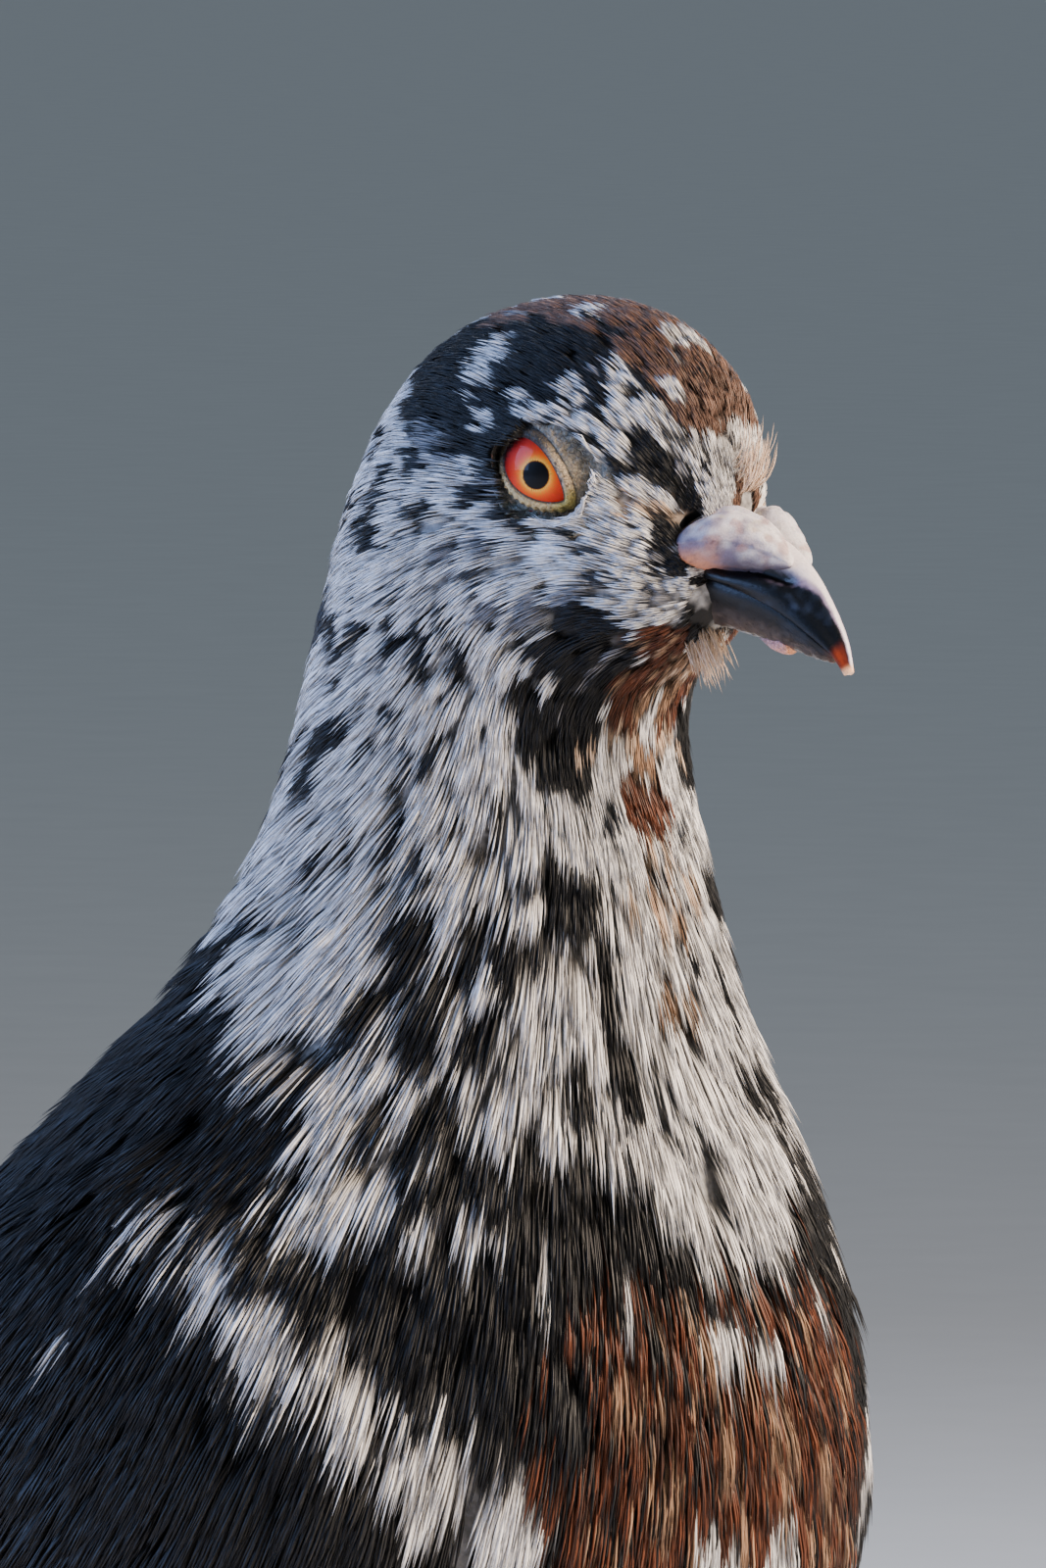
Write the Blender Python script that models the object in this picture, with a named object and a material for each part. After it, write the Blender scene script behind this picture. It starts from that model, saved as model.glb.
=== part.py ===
"""A still, life-size pied pigeon standing alert, as a museum shows one.

The bird faces +X and stands on the plane z = 0. Each sub-part is one closed solid in its own object.
Most parts are lofts: a short table of named sections is smoothed into rings, which are skinned and capped.
Lengths in the tables are millimetres in the bird's own frame, whose x = 0 lies under the pigeon's ear.
"""

import math
from dataclasses import dataclass

import bmesh
import bpy
import numpy as np
from mathutils import Matrix, Vector

MM = 0.001
GAP = 0.3  # clearance between touching pieces
BILL_TIP_X, TAIL_TIP_X = 37.4, -208.5
SHIFT_X = -(BILL_TIP_X + TAIL_TIP_X) / 2  # puts the origin under the middle of the model's box
DENSE = 6  # rows worked out between two sections of the body; each loft takes every second or third

EYE = Vector((10.8, 7.8, 211.4))  # centre of the left eyeball
EYE_RADIUS = 5.4
EYE_FORWARD, EYE_DOWN = math.radians(16), math.radians(4)  # how the eye's axis leans from straight sideways
LID_RADIUS, LID_THICKNESS = 3.7, 0.75  # the ring of the lids, before it is squeezed to an almond
LID_LONG, LID_SHORT = 1.2, 0.82
LID_TILT = math.radians(-42)  # the eye opening's long axis dips towards the bill
LID_SHELF = 3.8  # the lids follow the eyeball down to this height over its centre
LID_ROOM = Vector((5.9, 4.1, 2.6))  # the hollow in the head that holds them

CERE = Vector((25.3, 3.3, 205.3))  # centre of the fleshy lobe over the left nostril
CERE_AXES = Vector((6.0, 2.5, 3.05))
CERE_PITCH, CERE_YAW = math.radians(9), math.radians(-19)

FOOT_X, FOOT_Y = -43.0, 20.0  # the ball of the left foot
TOE_OUT = math.radians(6)  # the feet turn out a little
TOE_START = 6.0  # how far from the ball of the foot the toes begin
# name: direction from straight ahead (outwards), length, half-width at the root, joints
TOES = {
    "inner": (math.radians(-38), 19.0, 1.75, 2),
    "middle": (0.0, 26.0, 1.95, 3),
    "outer": (math.radians(38), 20.0, 1.7, 3),
    "hind": (math.radians(176), 13.0, 1.75, 1),
}
TOE_TAPER, KNUCKLE = 0.38, 1.16  # how much a toe thins to its end, and how much it swells at a joint
CLAW_LENGTH, CLAW_RADIUS, CLAW_TIP = 6.2, 1.15, 0.22
CLAW_SWEEP = math.radians(75)

COLOURS = {
    "white_plumage": (0.78, 0.77, 0.74, 1),
    "black_plumage": (0.035, 0.033, 0.034, 1),
    "horn": (0.06, 0.06, 0.07, 1),
    "cere": (0.62, 0.52, 0.52, 1),
    "iris": (0.78, 0.14, 0.02, 1),
    "lid": (0.55, 0.45, 0.25, 1),
    "leg_skin": (0.5, 0.09, 0.07, 1),
}
ROUGHNESS = {"iris": 0.1, "horn": 0.35}


@dataclass(frozen=True)
class Section:
    """One cross-section of a loft: its top and bottom points, and how far it reaches to each side of them."""

    top: tuple
    bottom: tuple
    reach: float
    low: float = 0.0  # moves the widest place towards the bottom, as a share of the half height
    square: float = 2.0  # 2 is an ellipse, more is boxier
    y: float = 0.0

    def numbers(self):
        """The section as one row, so that rows can be blended."""
        (top_x, top_z), (bottom_x, bottom_z) = self.top, self.bottom
        return np.array([top_x, self.y, top_z, bottom_x, self.y, bottom_z, self.reach, self.low, self.square])


# Back line, front or belly line, half width: from the bill's root over the head and down the back to the tail.
BODY = {
    "bill root": Section((25.7, 208.2), (23.0, 198.2), 4.7),
    "lores": Section((24.8, 213.2), (20.4, 195.6), 7.4),
    "brow": Section((22.6, 219.3), (17.8, 193.6), 10.3),
    "eye": Section((14.2, 225.2), (15.4, 191.6), 12.2),
    "crown": Section((3.0, 226.0), (14.2, 189.0), 13.2),
    "hind crown": Section((-7.6, 221.8), (13.8, 186.2), 14.2),
    "occiput": Section((-14.8, 212.2), (14.2, 183.2), 14.9),
    "nape": Section((-18.6, 200.0), (15.0, 179.8), 15.9),
    "upper neck": Section((-21.6, 187.6), (16.1, 175.6), 17.6),
    "middle neck": Section((-26.0, 176.2), (17.6, 168.2), 20.4),
    "neck root": Section((-33.5, 165.4), (20.2, 158.2), 25.8),
    "shoulder": Section((-45.5, 154.0), (24.4, 145.0), 33.2, 0.05),
    "breast": Section((-60.0, 142.5), (27.7, 124.5), 39.2, 0.08),
    "keel": Section((-76.0, 129.5), (21.6, 98.5), 40.6, 0.1),
    "midriff": Section((-91.0, 117.5), (-2.0, 69.5), 38.5, 0.12),
    "belly": Section((-105.5, 107.5), (-36.0, 54.0), 34.0, 0.12),
    "vent": Section((-119.5, 98.8), (-74.0, 55.5), 26.5, 0.1),
    "rump": Section((-133.5, 90.8), (-108.0, 64.5), 18.5, 0.05, 2.2),
    "tail root": Section((-146.5, 83.2), (-134.0, 71.4), 14.0, 0.0, 2.5),
    "tail base": Section((-160.0, 75.4), (-153.5, 66.8), 16.2, 0.0, 2.8),
    "tail middle": Section((-176.0, 66.2), (-173.2, 61.6), 20.0, 0.0, 3.0),
    "tail fan": Section((-192.0, 57.0), (-190.6, 54.6), 23.2, 0.0, 3.2),
    "tail end": Section((-203.0, 50.7), (-202.2, 49.2), 24.0, 0.0, 3.2),
    "tail tip": Section((-208.5, 47.5), (-208.0, 46.5), 19.5, 0.0, 3.0),
}
PLACE = {name: index * DENSE for index, name in enumerate(BODY)}  # the row of each section

# The folded wing lies on the body. At each section: its upper and lower edge, in degrees round the section
# from the back, and its thickness.
SHIELD = {
    "shoulder": (70, 98, 1.2),
    "breast": (47, 127, 3.2),
    "keel": (24, 132, 5.2),
    "midriff": (15, 124, 6.8),
    "belly": (11, 126, 6.6),
    "vent": (10, 128, 5.6),
}
PRIMARIES = {
    "vent": (10, 126, 5.4),
    "rump": (10, 112, 4.4),
    "tail root": (9, 84, 3.6),
    "tail base": (7, 48, 2.6),
    "tail middle": (4, 20, 1.6),
    "tail fan": (3, 8, 0.9),
}
WING_EDGE = 0.6  # thickness of a wing at its edges
WING_GAP = 2 * GAP  # its facets bow in by up to a gap

UPPER_BILL = (
    Section((25.9, 206.8), (24.6, 202.3), 3.9, 0.3),
    Section((29.9, 205.6), (28.2, 201.0), 3.3, 0.3),
    Section((33.1, 203.1), (31.4, 199.4), 2.65, 0.3),
    Section((35.5, 199.9), (34.0, 197.5), 1.95, 0.25),
    Section((36.9, 196.9), (35.8, 195.8), 1.3, 0.1),
    Section((37.4, 194.3), (36.8, 193.9), 0.55),
)
LOWER_BILL = (
    Section((24.4, 201.7), (23.4, 197.6), 3.5, -0.3),
    Section((28.0, 200.4), (27.3, 196.9), 2.9, -0.3),
    Section((31.2, 198.8), (30.8, 196.0), 2.3, -0.3),
    Section((33.8, 196.9), (33.5, 195.2), 1.6, -0.3),
    Section((35.4, 195.6), (35.3, 194.9), 0.8, -0.2),
)

THIGH = (
    Section((-14.0, 84.0), (-58.0, 74.0), 12.0, y=FOOT_Y),
    Section((-20.0, 66.0), (-60.0, 57.0), 11.0, y=FOOT_Y),
    Section((-32.0, 50.0), (-60.0, 45.0), 8.6, y=FOOT_Y),
    Section((-42.5, 38.5), (-58.5, 36.5), 5.4, y=FOOT_Y),
    Section((-48.5, 31.5), (-56.0, 30.5), 2.9, y=FOOT_Y),
)
SHANK = (
    Section((-49.0, 31.2), (-55.8, 30.2), 2.6, y=FOOT_Y),
    Section((-48.2, 27.0), (-54.6, 26.0), 2.5, y=FOOT_Y),
    Section((-46.8, 20.0), (-51.4, 19.0), 1.95, y=FOOT_Y),
    Section((-44.0, 12.0), (-48.8, 10.6), 1.95, y=FOOT_Y),
    Section((-39.8, 6.8), (-47.4, 4.8), 2.9, y=FOOT_Y),
    Section((-37.6, 3.4), (-48.2, 2.2), 4.6, y=FOOT_Y),
    Section((-37.6, 0.0), (-48.4, 0.0), 4.6, y=FOOT_Y),
)


def smooth_rows(rows, steps):
    """A row for every step through all the given rows, which it passes through (Catmull-Rom)."""
    rows = np.array(rows, float)
    padded = np.vstack([2 * rows[0] - rows[1], rows, 2 * rows[-1] - rows[-2]])
    out = []
    for i in range(1, len(padded) - 2):
        before, start, end, after = padded[i - 1 : i + 3]
        linear = end - before
        square = 2 * before - 5 * start + 4 * end - after
        cube = 3 * start - before - 3 * end + after
        for t in np.linspace(0, 1, steps, endpoint=False):
            out.append(start + 0.5 * (linear * t + square * t**2 + cube * t**3))
    return np.array([*out, rows[-1]])


def section_rows(sections, steps):
    """The smoothed rows of a loft's sections."""
    return smooth_rows([section.numbers() for section in sections], steps)


def body_rows(first, last, every, shift=0.0):
    """The body's rows from one section to another. With a shift, the first row moves that far along."""
    rows = section_rows(BODY.values(), DENSE)[PLACE[first] : PLACE[last] + 1 : every].copy()
    if shift:
        onwards = Vector(rows[1, 0:3] + rows[1, 3:6]) - Vector(rows[0, 0:3] + rows[0, 3:6])
        normal = Vector(rows[0, 0:3] - rows[0, 3:6]).cross(Vector((0, 1, 0))).normalized()
        normal *= math.copysign(shift, normal.dot(onwards))
        rows[0, 0:3] += normal
        rows[0, 3:6] += normal
    return rows


def point_on(row, angle, grow=0.0):
    """The point of a section at an angle from its top, going round by +Y, with the section grown all round."""
    top, bottom = Vector(row[0:3]), Vector(row[3:6])
    reach, low, square = row[6:9]
    up = (top - bottom).normalized()
    half = (top - bottom).length / 2 + grow
    c, s = math.cos(angle), math.sin(angle)
    along = math.copysign(abs(c) ** (2 / square), c)
    across = math.copysign(abs(s) ** (2 / square), s)
    side = Vector((0, 1, 0)) * (reach + grow) * across
    return (top + bottom) / 2 + up * half * (along - low * across**2) + side


def whole_rings(rows, around, grow=0.0):
    """The closed rings of a plain loft."""
    angles = [2 * math.pi * k / around for k in range(around)]
    return [[point_on(row, angle, grow) for angle in angles] for row in rows]


def wing_rings(rows, edges, across, room=0.0):
    """Rings of a piece that lies on the left side of the body: along its inner face, and back along its outer.

    With room, they are those of a cutter that much larger, which starts at the body.
    """
    rings = []
    for row, (upper, lower, thickness) in zip(rows, edges):
        inner, outer = [], []
        wider = math.degrees(room / row[6])
        for k in range(across + 1):
            v = k / across
            angle = math.radians((upper - wider) * (1 - v) + (lower + wider) * v)
            bulge = math.sqrt(1 - abs(2 * v - 1) ** 3)
            inner.append(point_on(row, angle, 0.0 if room else WING_GAP))
            outer.append(point_on(row, angle, WING_GAP + WING_EDGE + (thickness - WING_EDGE) * bulge + room))
        rings.append(inner + outer[::-1])
    return rings


def placed(point):
    """A point of the tables as a place in the model, in metres and on or over the floor."""
    return Vector(((point[0] + SHIFT_X) * MM, point[1] * MM, max(point[2], 0.0) * MM))


def material(name):
    """The named material, made once."""
    found = bpy.data.materials.get(name)
    if found is None:
        found = bpy.data.materials.new(name)
        found.use_nodes = True
        shader = found.node_tree.nodes["Principled BSDF"]
        shader.inputs["Base Color"].default_value = COLOURS[name]
        shader.inputs["Roughness"].default_value = ROUGHNESS.get(name, 0.7)
        shader.inputs["Metallic"].default_value = 0.0
    return found


def finish(obj, finish_name):
    """Gives an object its material and its collection. One without a finish is a cutter."""
    for old in obj.users_collection:
        old.objects.unlink(obj)
    bpy.data.collections["pigeon" if finish_name else "cutters"].objects.link(obj)
    if finish_name:
        obj.data.materials.append(material(finish_name))
        obj.data.shade_smooth()
    else:
        obj.hide_render = True
        obj.display_type = "WIRE"
    return obj


def loft(name, rings, finish_name, turn=None):
    """A closed skin over the rings, with flat ends."""
    mesh = bmesh.new()
    made = [[mesh.verts.new(placed(point)) for point in ring] for ring in rings]
    around = len(made[0])
    for ring, following in zip(made, made[1:]):
        for k in range(around):
            after = (k + 1) % around
            mesh.faces.new((ring[k], ring[after], following[after], following[k]))
    mesh.faces.new(made[0])
    mesh.faces.new(made[-1][::-1])
    if turn:
        bmesh.ops.transform(mesh, matrix=turn, verts=mesh.verts)
    bmesh.ops.recalc_face_normals(mesh, faces=mesh.faces)
    data = bpy.data.meshes.new(name)
    mesh.to_mesh(data)
    mesh.free()
    obj = bpy.data.objects.new(name, data)
    bpy.context.scene.collection.objects.link(obj)
    return finish(obj, finish_name)


def cut(obj, cutter):
    """Takes the cutter's room out of an object, with a live Boolean."""
    modifier = obj.modifiers.new(f"room for {cutter.name}", "BOOLEAN")
    modifier.operation = "DIFFERENCE"
    modifier.solver = "EXACT"
    modifier.object = cutter


def right_of(obj, name, finish_name):
    """A copy of a left-hand piece for the right-hand side, its faces turned back outwards."""
    data = obj.data.copy()
    data.materials.clear()
    data.transform(Matrix.Diagonal((1, -1, 1, 1)))
    data.flip_normals()
    copy = bpy.data.objects.new(name, data)
    bpy.context.scene.collection.objects.link(copy)
    return finish(copy, finish_name)


def ellipsoid(name, centre, axes, turn, finish_name, segments, rings):
    """A UV sphere primitive, scaled and turned about its centre."""
    bpy.ops.mesh.primitive_uv_sphere_add(segments=segments, ring_count=rings, radius=1)
    obj = bpy.context.object
    obj.name = name
    scale = Matrix.Diagonal((*(Vector(axes) * MM), 1))
    obj.data.transform(Matrix.Translation(placed(centre)) @ turn @ scale)
    return finish(obj, finish_name)


def eye_turn():
    """Turns +Z of a primitive to the left eye's axis, and its +X to the long axis of the eye's opening."""
    out = Vector((math.sin(EYE_FORWARD), math.cos(EYE_FORWARD), -math.sin(EYE_DOWN))).normalized()
    forward = (Vector((1, 0, 0)) - out * out.x).normalized()
    up = out.cross(forward)
    long_axis = forward * math.cos(LID_TILT) - up * math.sin(LID_TILT)
    return Matrix((long_axis, out.cross(long_axis), out)).transposed().to_4x4()


def lids(name, finish_name):
    """The rim of bare skin round the eye: a torus squeezed to the opening's almond and laid on the eyeball."""
    bpy.ops.mesh.primitive_torus_add(
        major_segments=18, minor_segments=6, major_radius=LID_RADIUS, minor_radius=LID_THICKNESS
    )
    obj = bpy.context.object
    obj.name = name
    for vertex in obj.data.vertices:
        x, y = vertex.co.x * LID_LONG, vertex.co.y * LID_SHORT
        ball = math.sqrt(max((EYE_RADIUS + GAP) ** 2 - x * x - y * y, LID_SHELF**2))
        vertex.co = (x, y, ball + LID_THICKNESS + vertex.co.z)
    obj.data.transform(Matrix.Translation(placed(EYE)) @ eye_turn() @ Matrix.Scale(MM, 4))
    return finish(obj, finish_name)


def build_body():
    """Head, neck, trunk and tail from one run of sections, parted by thin gaps. Returns the head."""
    head = loft("head", whole_rings(body_rows("bill root", "occiput", 2), 24), "white_plumage")
    loft("neck", whole_rings(body_rows("occiput", "neck root", 2, GAP), 24), "white_plumage")
    loft("trunk", whole_rings(body_rows("neck root", "tail root", 3, GAP), 24), "black_plumage")
    loft("tail", whole_rings(body_rows("tail root", "tail tip", 3, GAP), 18), "black_plumage")
    return head


def build_wings():
    """Each folded wing: the shield of coverts and secondaries, and the primaries behind it. Returns their rooms."""
    for piece, table, across, every, shift in (("wing", SHIELD, 8, 2, 0.0), ("primaries", PRIMARIES, 6, 3, GAP)):
        names = list(table)
        rows = body_rows(names[0], names[-1], every, shift)
        edges = smooth_rows(list(table.values()), DENSE // every)
        left = loft(f"{piece}_left", wing_rings(rows, edges, across), "black_plumage")
        right_of(left, f"{piece}_right", "black_plumage")
        if piece == "wing":
            room = loft("wing_room", wing_rings(rows, edges, across, 2 * GAP), None)
    return room, right_of(room, "wing_room_right", None)


def build_bill():
    """The two halves of the bill. Returns the upper one."""
    loft("bill_lower", whole_rings(section_rows(LOWER_BILL, 2), 12), "horn")
    return loft("bill_upper", whole_rings(section_rows(UPPER_BILL, 2), 12), "horn")


def build_face(head, upper_bill):
    """Eyes, lids and cere lobes on both sides, and the hollows in the head and bill that hold them."""
    lean = Matrix.Rotation(CERE_YAW, 4, "Z") @ Matrix.Rotation(CERE_PITCH, 4, "Y")
    roomy = CERE_AXES + Vector((GAP, GAP, GAP))
    pieces = (
        (ellipsoid("eye_left", EYE, [EYE_RADIUS] * 3, eye_turn(), "iris", 16, 10), "iris"),
        (lids("eyelid_left", "lid"), "lid"),
        (ellipsoid("cere_left", CERE, CERE_AXES, lean, "cere", 12, 8), "cere"),
    )
    for piece, finish_name in pieces:
        right_of(piece, piece.name.replace("left", "right"), finish_name)
    lid_centre = EYE + eye_turn().to_3x3() @ Vector((0, 0, LID_SHELF + LID_THICKNESS))
    off_grid = eye_turn() @ Matrix.Rotation(math.pi / 16, 4, "Z")  # its edges cross those of the lids' room
    eye_room = ellipsoid("eye_room", EYE, [EYE_RADIUS + GAP] * 3, off_grid, None, 16, 10)
    lid_room = ellipsoid("lid_room", lid_centre, LID_ROOM, eye_turn(), None, 16, 8)
    cere_room = ellipsoid("cere_room", CERE, roomy, lean, None, 12, 8)
    for room in (eye_room, lid_room, cere_room):
        other_room = right_of(room, f"{room.name}_right", None)
        for cutter in (room, other_room):
            cut(head, cutter)
            if room is cere_room:
                cut(upper_bill, cutter)


def toe_sections(length, root, joints):
    """A toe along +X from its root: thick at each joint, thinner between them and towards its end."""
    sections = []
    steps = 2 * joints + 1
    for k in range(steps + 1):
        radius = root * (1 - TOE_TAPER * k / steps)
        if k % 2:
            radius *= KNUCKLE
        x = length * k / steps
        sunk = 0.2 * root  # the pads are flattened against the floor
        sections.append(Section((x, 2 * radius - sunk), (x, -sunk), radius))
    return sections


def claw_sections():
    """A claw along +X, which arches over and comes down to a point."""
    sections = []
    steps = 4
    for k in range(steps + 1):
        along = k / steps
        radius = CLAW_RADIUS * (1 - along) ** 0.8 + CLAW_TIP
        x = CLAW_LENGTH * math.sin(along * CLAW_SWEEP) / math.sin(CLAW_SWEEP)
        z = 0.5 + CLAW_RADIUS * 1.15 * (1 - along) + 0.9 * math.sin(math.pi * along)
        sections.append(Section((x, z + radius), (x, max(z - radius, 0.1)), radius * 0.8))
    return sections


def build_legs(wing_rooms):
    """On each side: the feathered thigh, the bare shank with the ball of the foot, four toes and their claws."""
    trunk_room = loft("trunk_room", whole_rings(body_rows("neck root", "tail root", 3), 24, GAP), None)
    thigh = loft("thigh_left", whole_rings(section_rows(THIGH, 2), 14), "black_plumage")
    shank = loft("shank_left", whole_rings(section_rows(SHANK, 1), 10), "leg_skin")
    right_of(shank, "shank_right", "leg_skin")
    for obj, wing_room in zip((thigh, right_of(thigh, "thigh_right", "black_plumage")), wing_rooms):
        cut(obj, trunk_room)
        cut(obj, wing_room)
    to_foot = Matrix.Translation(placed((FOOT_X, FOOT_Y, 0)))
    from_table = Matrix.Translation(-placed((0, 0, 0)))
    for name, (direction, length, root, joints) in TOES.items():
        seat = to_foot @ Matrix.Rotation(direction + TOE_OUT, 4, "Z")
        toe_seat = seat @ Matrix.Translation((TOE_START * MM, 0, 0)) @ from_table
        claw_seat = seat @ Matrix.Translation(((TOE_START + length + GAP) * MM, 0, 0)) @ from_table
        toe_rings = whole_rings(section_rows(toe_sections(length, root, joints), 1), 8)
        claw_rings = whole_rings(section_rows(claw_sections(), 1), 6)
        toe = loft(f"toe_{name}_left", toe_rings, "leg_skin", toe_seat)
        claw = loft(f"claw_{name}_left", claw_rings, "horn", claw_seat)
        right_of(toe, f"toe_{name}_right", "leg_skin")
        right_of(claw, f"claw_{name}_right", "horn")


def main():
    """Clears the scene and builds the pigeon."""
    for obj in list(bpy.data.objects):
        bpy.data.objects.remove(obj)
    for name in ("pigeon", "cutters"):
        bpy.context.scene.collection.children.link(bpy.data.collections.new(name))
    head = build_body()
    wing_rooms = build_wings()
    build_face(head, build_bill())
    build_legs(wing_rooms)


main()
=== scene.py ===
"""Feral pigeon, still and life-size: its skin, plumage, eyes, bill and feet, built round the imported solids.

Lengths are in millimetres, in the frame of the solids, until a mesh is made. The bird faces +X with its left
side towards +Y. Places on the body are given as a station, counted along the bird from the bill's root to the
tail's tip, and an angle round it from the back, in degrees, positive on the left side.
"""

from __future__ import annotations

import itertools
import logging
import math
import sys
from collections.abc import Callable, Sequence
from dataclasses import dataclass, field
from enum import Enum

import bpy
import numpy as np
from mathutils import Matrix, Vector
from mathutils.bvhtree import BVHTree
from mathutils.kdtree import KDTree

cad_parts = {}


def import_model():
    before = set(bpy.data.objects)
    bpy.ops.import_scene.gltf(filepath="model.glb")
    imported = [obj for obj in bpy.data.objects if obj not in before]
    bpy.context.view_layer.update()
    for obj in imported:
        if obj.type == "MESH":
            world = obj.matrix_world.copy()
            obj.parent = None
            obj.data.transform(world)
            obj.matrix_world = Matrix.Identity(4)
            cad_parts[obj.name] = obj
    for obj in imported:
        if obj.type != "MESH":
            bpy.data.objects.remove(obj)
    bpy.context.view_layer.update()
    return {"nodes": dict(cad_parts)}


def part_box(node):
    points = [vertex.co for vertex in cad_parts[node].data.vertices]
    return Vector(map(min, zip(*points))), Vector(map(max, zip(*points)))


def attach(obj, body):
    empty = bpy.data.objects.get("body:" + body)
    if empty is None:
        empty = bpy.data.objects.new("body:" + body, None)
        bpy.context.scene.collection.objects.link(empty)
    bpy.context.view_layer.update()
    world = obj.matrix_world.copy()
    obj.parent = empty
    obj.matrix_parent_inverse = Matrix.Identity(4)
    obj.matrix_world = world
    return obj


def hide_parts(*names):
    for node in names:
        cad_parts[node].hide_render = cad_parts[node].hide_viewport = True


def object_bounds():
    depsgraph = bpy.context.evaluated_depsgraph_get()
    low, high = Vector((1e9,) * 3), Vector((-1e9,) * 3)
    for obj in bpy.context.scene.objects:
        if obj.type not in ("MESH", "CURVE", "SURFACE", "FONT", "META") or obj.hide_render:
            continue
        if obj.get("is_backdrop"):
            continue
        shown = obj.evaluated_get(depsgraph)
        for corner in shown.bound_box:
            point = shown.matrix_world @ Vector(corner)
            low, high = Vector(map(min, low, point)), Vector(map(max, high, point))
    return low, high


LOG = logging.getLogger("pigeon")
MM = 0.001
GOLDEN = (math.sqrt(5) - 1) / 2
BILL_TIP = 37.4
BODY = "root"
FLESH = ("head", "neck", "trunk", "wing_left", "wing_right")
FEATHER_ONLY = ("tail", "primaries_left", "primaries_right")
BILL_AND_CERE = ("bill_upper", "bill_lower", "cere_left", "cere_right")
FACE_FILL = ("eye_left", "eye_right", "eyelid_left", "eyelid_right")
THIGHS = ("thigh_left", "thigh_right")
SIDES = ((1, "left"), (-1, "right"))
KERATIN_IOR = 1.54
HASH_PRIMES = np.array([73856093, 19349663, 83492791])
HASH_SEED_STEP = 2654435761

Array = np.ndarray
Rule = Callable[[Array, Array], Array]
Object = bpy.types.Object
Material = bpy.types.Material
NodeTree = bpy.types.NodeTree


# ---------------------------------------------------------------- stations


@dataclass(frozen=True)
class Station:
    """One plane across the bird, by its upper and lower points in side view, from the standing point's axis."""

    name: str
    top: tuple[float, float]
    bottom: tuple[float, float]


STATIONS = (
    Station("bill root", (25.7, 208.2), (23.0, 198.2)),
    Station("lores", (24.8, 213.2), (20.4, 195.6)),
    Station("brow", (22.6, 219.3), (17.8, 193.6)),
    Station("eye", (14.2, 225.2), (15.4, 191.6)),
    Station("crown", (3.0, 226.0), (14.2, 189.0)),
    Station("hind crown", (-7.6, 221.8), (13.8, 186.2)),
    Station("occiput", (-14.8, 212.2), (14.2, 183.2)),
    Station("nape", (-18.6, 200.0), (15.0, 179.8)),
    Station("upper neck", (-21.6, 187.6), (16.1, 175.6)),
    Station("middle neck", (-26.0, 176.2), (17.6, 168.2)),
    Station("neck root", (-33.5, 165.4), (20.2, 158.2)),
    Station("shoulder", (-45.5, 154.0), (24.4, 145.0)),
    Station("breast", (-60.0, 142.5), (27.7, 124.5)),
    Station("keel", (-76.0, 129.5), (21.6, 98.5)),
    Station("midriff", (-91.0, 117.5), (-2.0, 69.5)),
    Station("belly", (-105.5, 107.5), (-36.0, 54.0)),
    Station("vent", (-119.5, 98.8), (-74.0, 55.5)),
    Station("rump", (-133.5, 90.8), (-108.0, 64.5)),
    Station("tail root", (-146.5, 83.2), (-134.0, 71.4)),
    Station("tail base", (-160.0, 75.4), (-153.5, 66.8)),
    Station("tail middle", (-176.0, 66.2), (-173.2, 61.6)),
    Station("tail fan", (-192.0, 57.0), (-190.6, 54.6)),
    Station("tail end", (-203.0, 50.7), (-202.2, 49.2)),
    Station("tail tip", (-208.5, 47.5), (-208.0, 46.5)),
)
THIGH_STATIONS = (
    Station("hip", (-18.0, 72.5), (-59.0, 65.0)),
    Station("thigh", (-20.0, 66.0), (-60.0, 57.0)),
    Station("drumstick", (-32.0, 50.0), (-60.0, 45.0)),
    Station("above the ankle", (-42.5, 38.5), (-58.5, 36.5)),
    Station("ankle", (-48.5, 31.5), (-56.0, 30.5)),
)
FOOT_Y = 20.0


def place_of(name: str) -> float:
    """Gives a station's count along the bird."""
    return float([station.name for station in STATIONS].index(name))


# ---------------------------------------------------------------- small tools


def linear(code: str) -> tuple[float, float, float]:
    """Turns an sRGB hex colour into linear red, green and blue.

    Args:
        code: six hex digits, with or without a leading #.

    Returns:
        The three linear values from 0 to 1.
    """
    digits = code.lstrip("#")
    parts = (int(digits[i : i + 2], 16) / 255 for i in (0, 2, 4))
    return tuple(p / 12.92 if p <= 0.04045 else ((p + 0.055) / 1.055) ** 2.4 for p in parts)


def ease(value: Array, low: float, high: float) -> Array:
    """Rises smoothly from 0 at low to 1 at high."""
    part = np.clip((value - low) / (high - low), 0.0, 1.0)
    return part * part * (3 - 2 * part)


def blend(low: Array, high: Array, share: Array) -> Array:
    """Mixes two colours, each one row or many, by a share for each place."""
    return low + (high - low) * np.clip(share, 0, 1)[:, None]


def hexes(*codes: str) -> tuple[Array, ...]:
    """Turns several hex colours into linear rows."""
    return tuple(np.array([linear(code)]) for code in codes)


def bell(value: Array, middle: float, width: float) -> Array:
    """Rises to 1 at the middle and falls away on either side over a width."""
    return np.exp(-(((value - middle) / width) ** 2))


def unit(vectors: Array) -> Array:
    """Scales vectors to a length of one."""
    return vectors / np.maximum(np.linalg.norm(vectors, axis=-1, keepdims=True), 1e-12)


def frame_along(centre: Array, out: Array, axis: int = 1) -> tuple[Array, Array]:
    """Gives the sideways and the upward directions of blades whose centres run along an axis."""
    heading = unit(np.gradient(centre, axis=axis))
    side = unit(np.cross(heading, out))
    return side, unit(np.cross(side, heading))


def rolled(side: Array, up: Array, roll: Array | float) -> tuple[Array, Array]:
    """Turns a blade's two directions about its own length, by an angle in radians."""
    return side * np.cos(roll) + up * np.sin(roll), up * np.cos(roll) - side * np.sin(roll)


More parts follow.
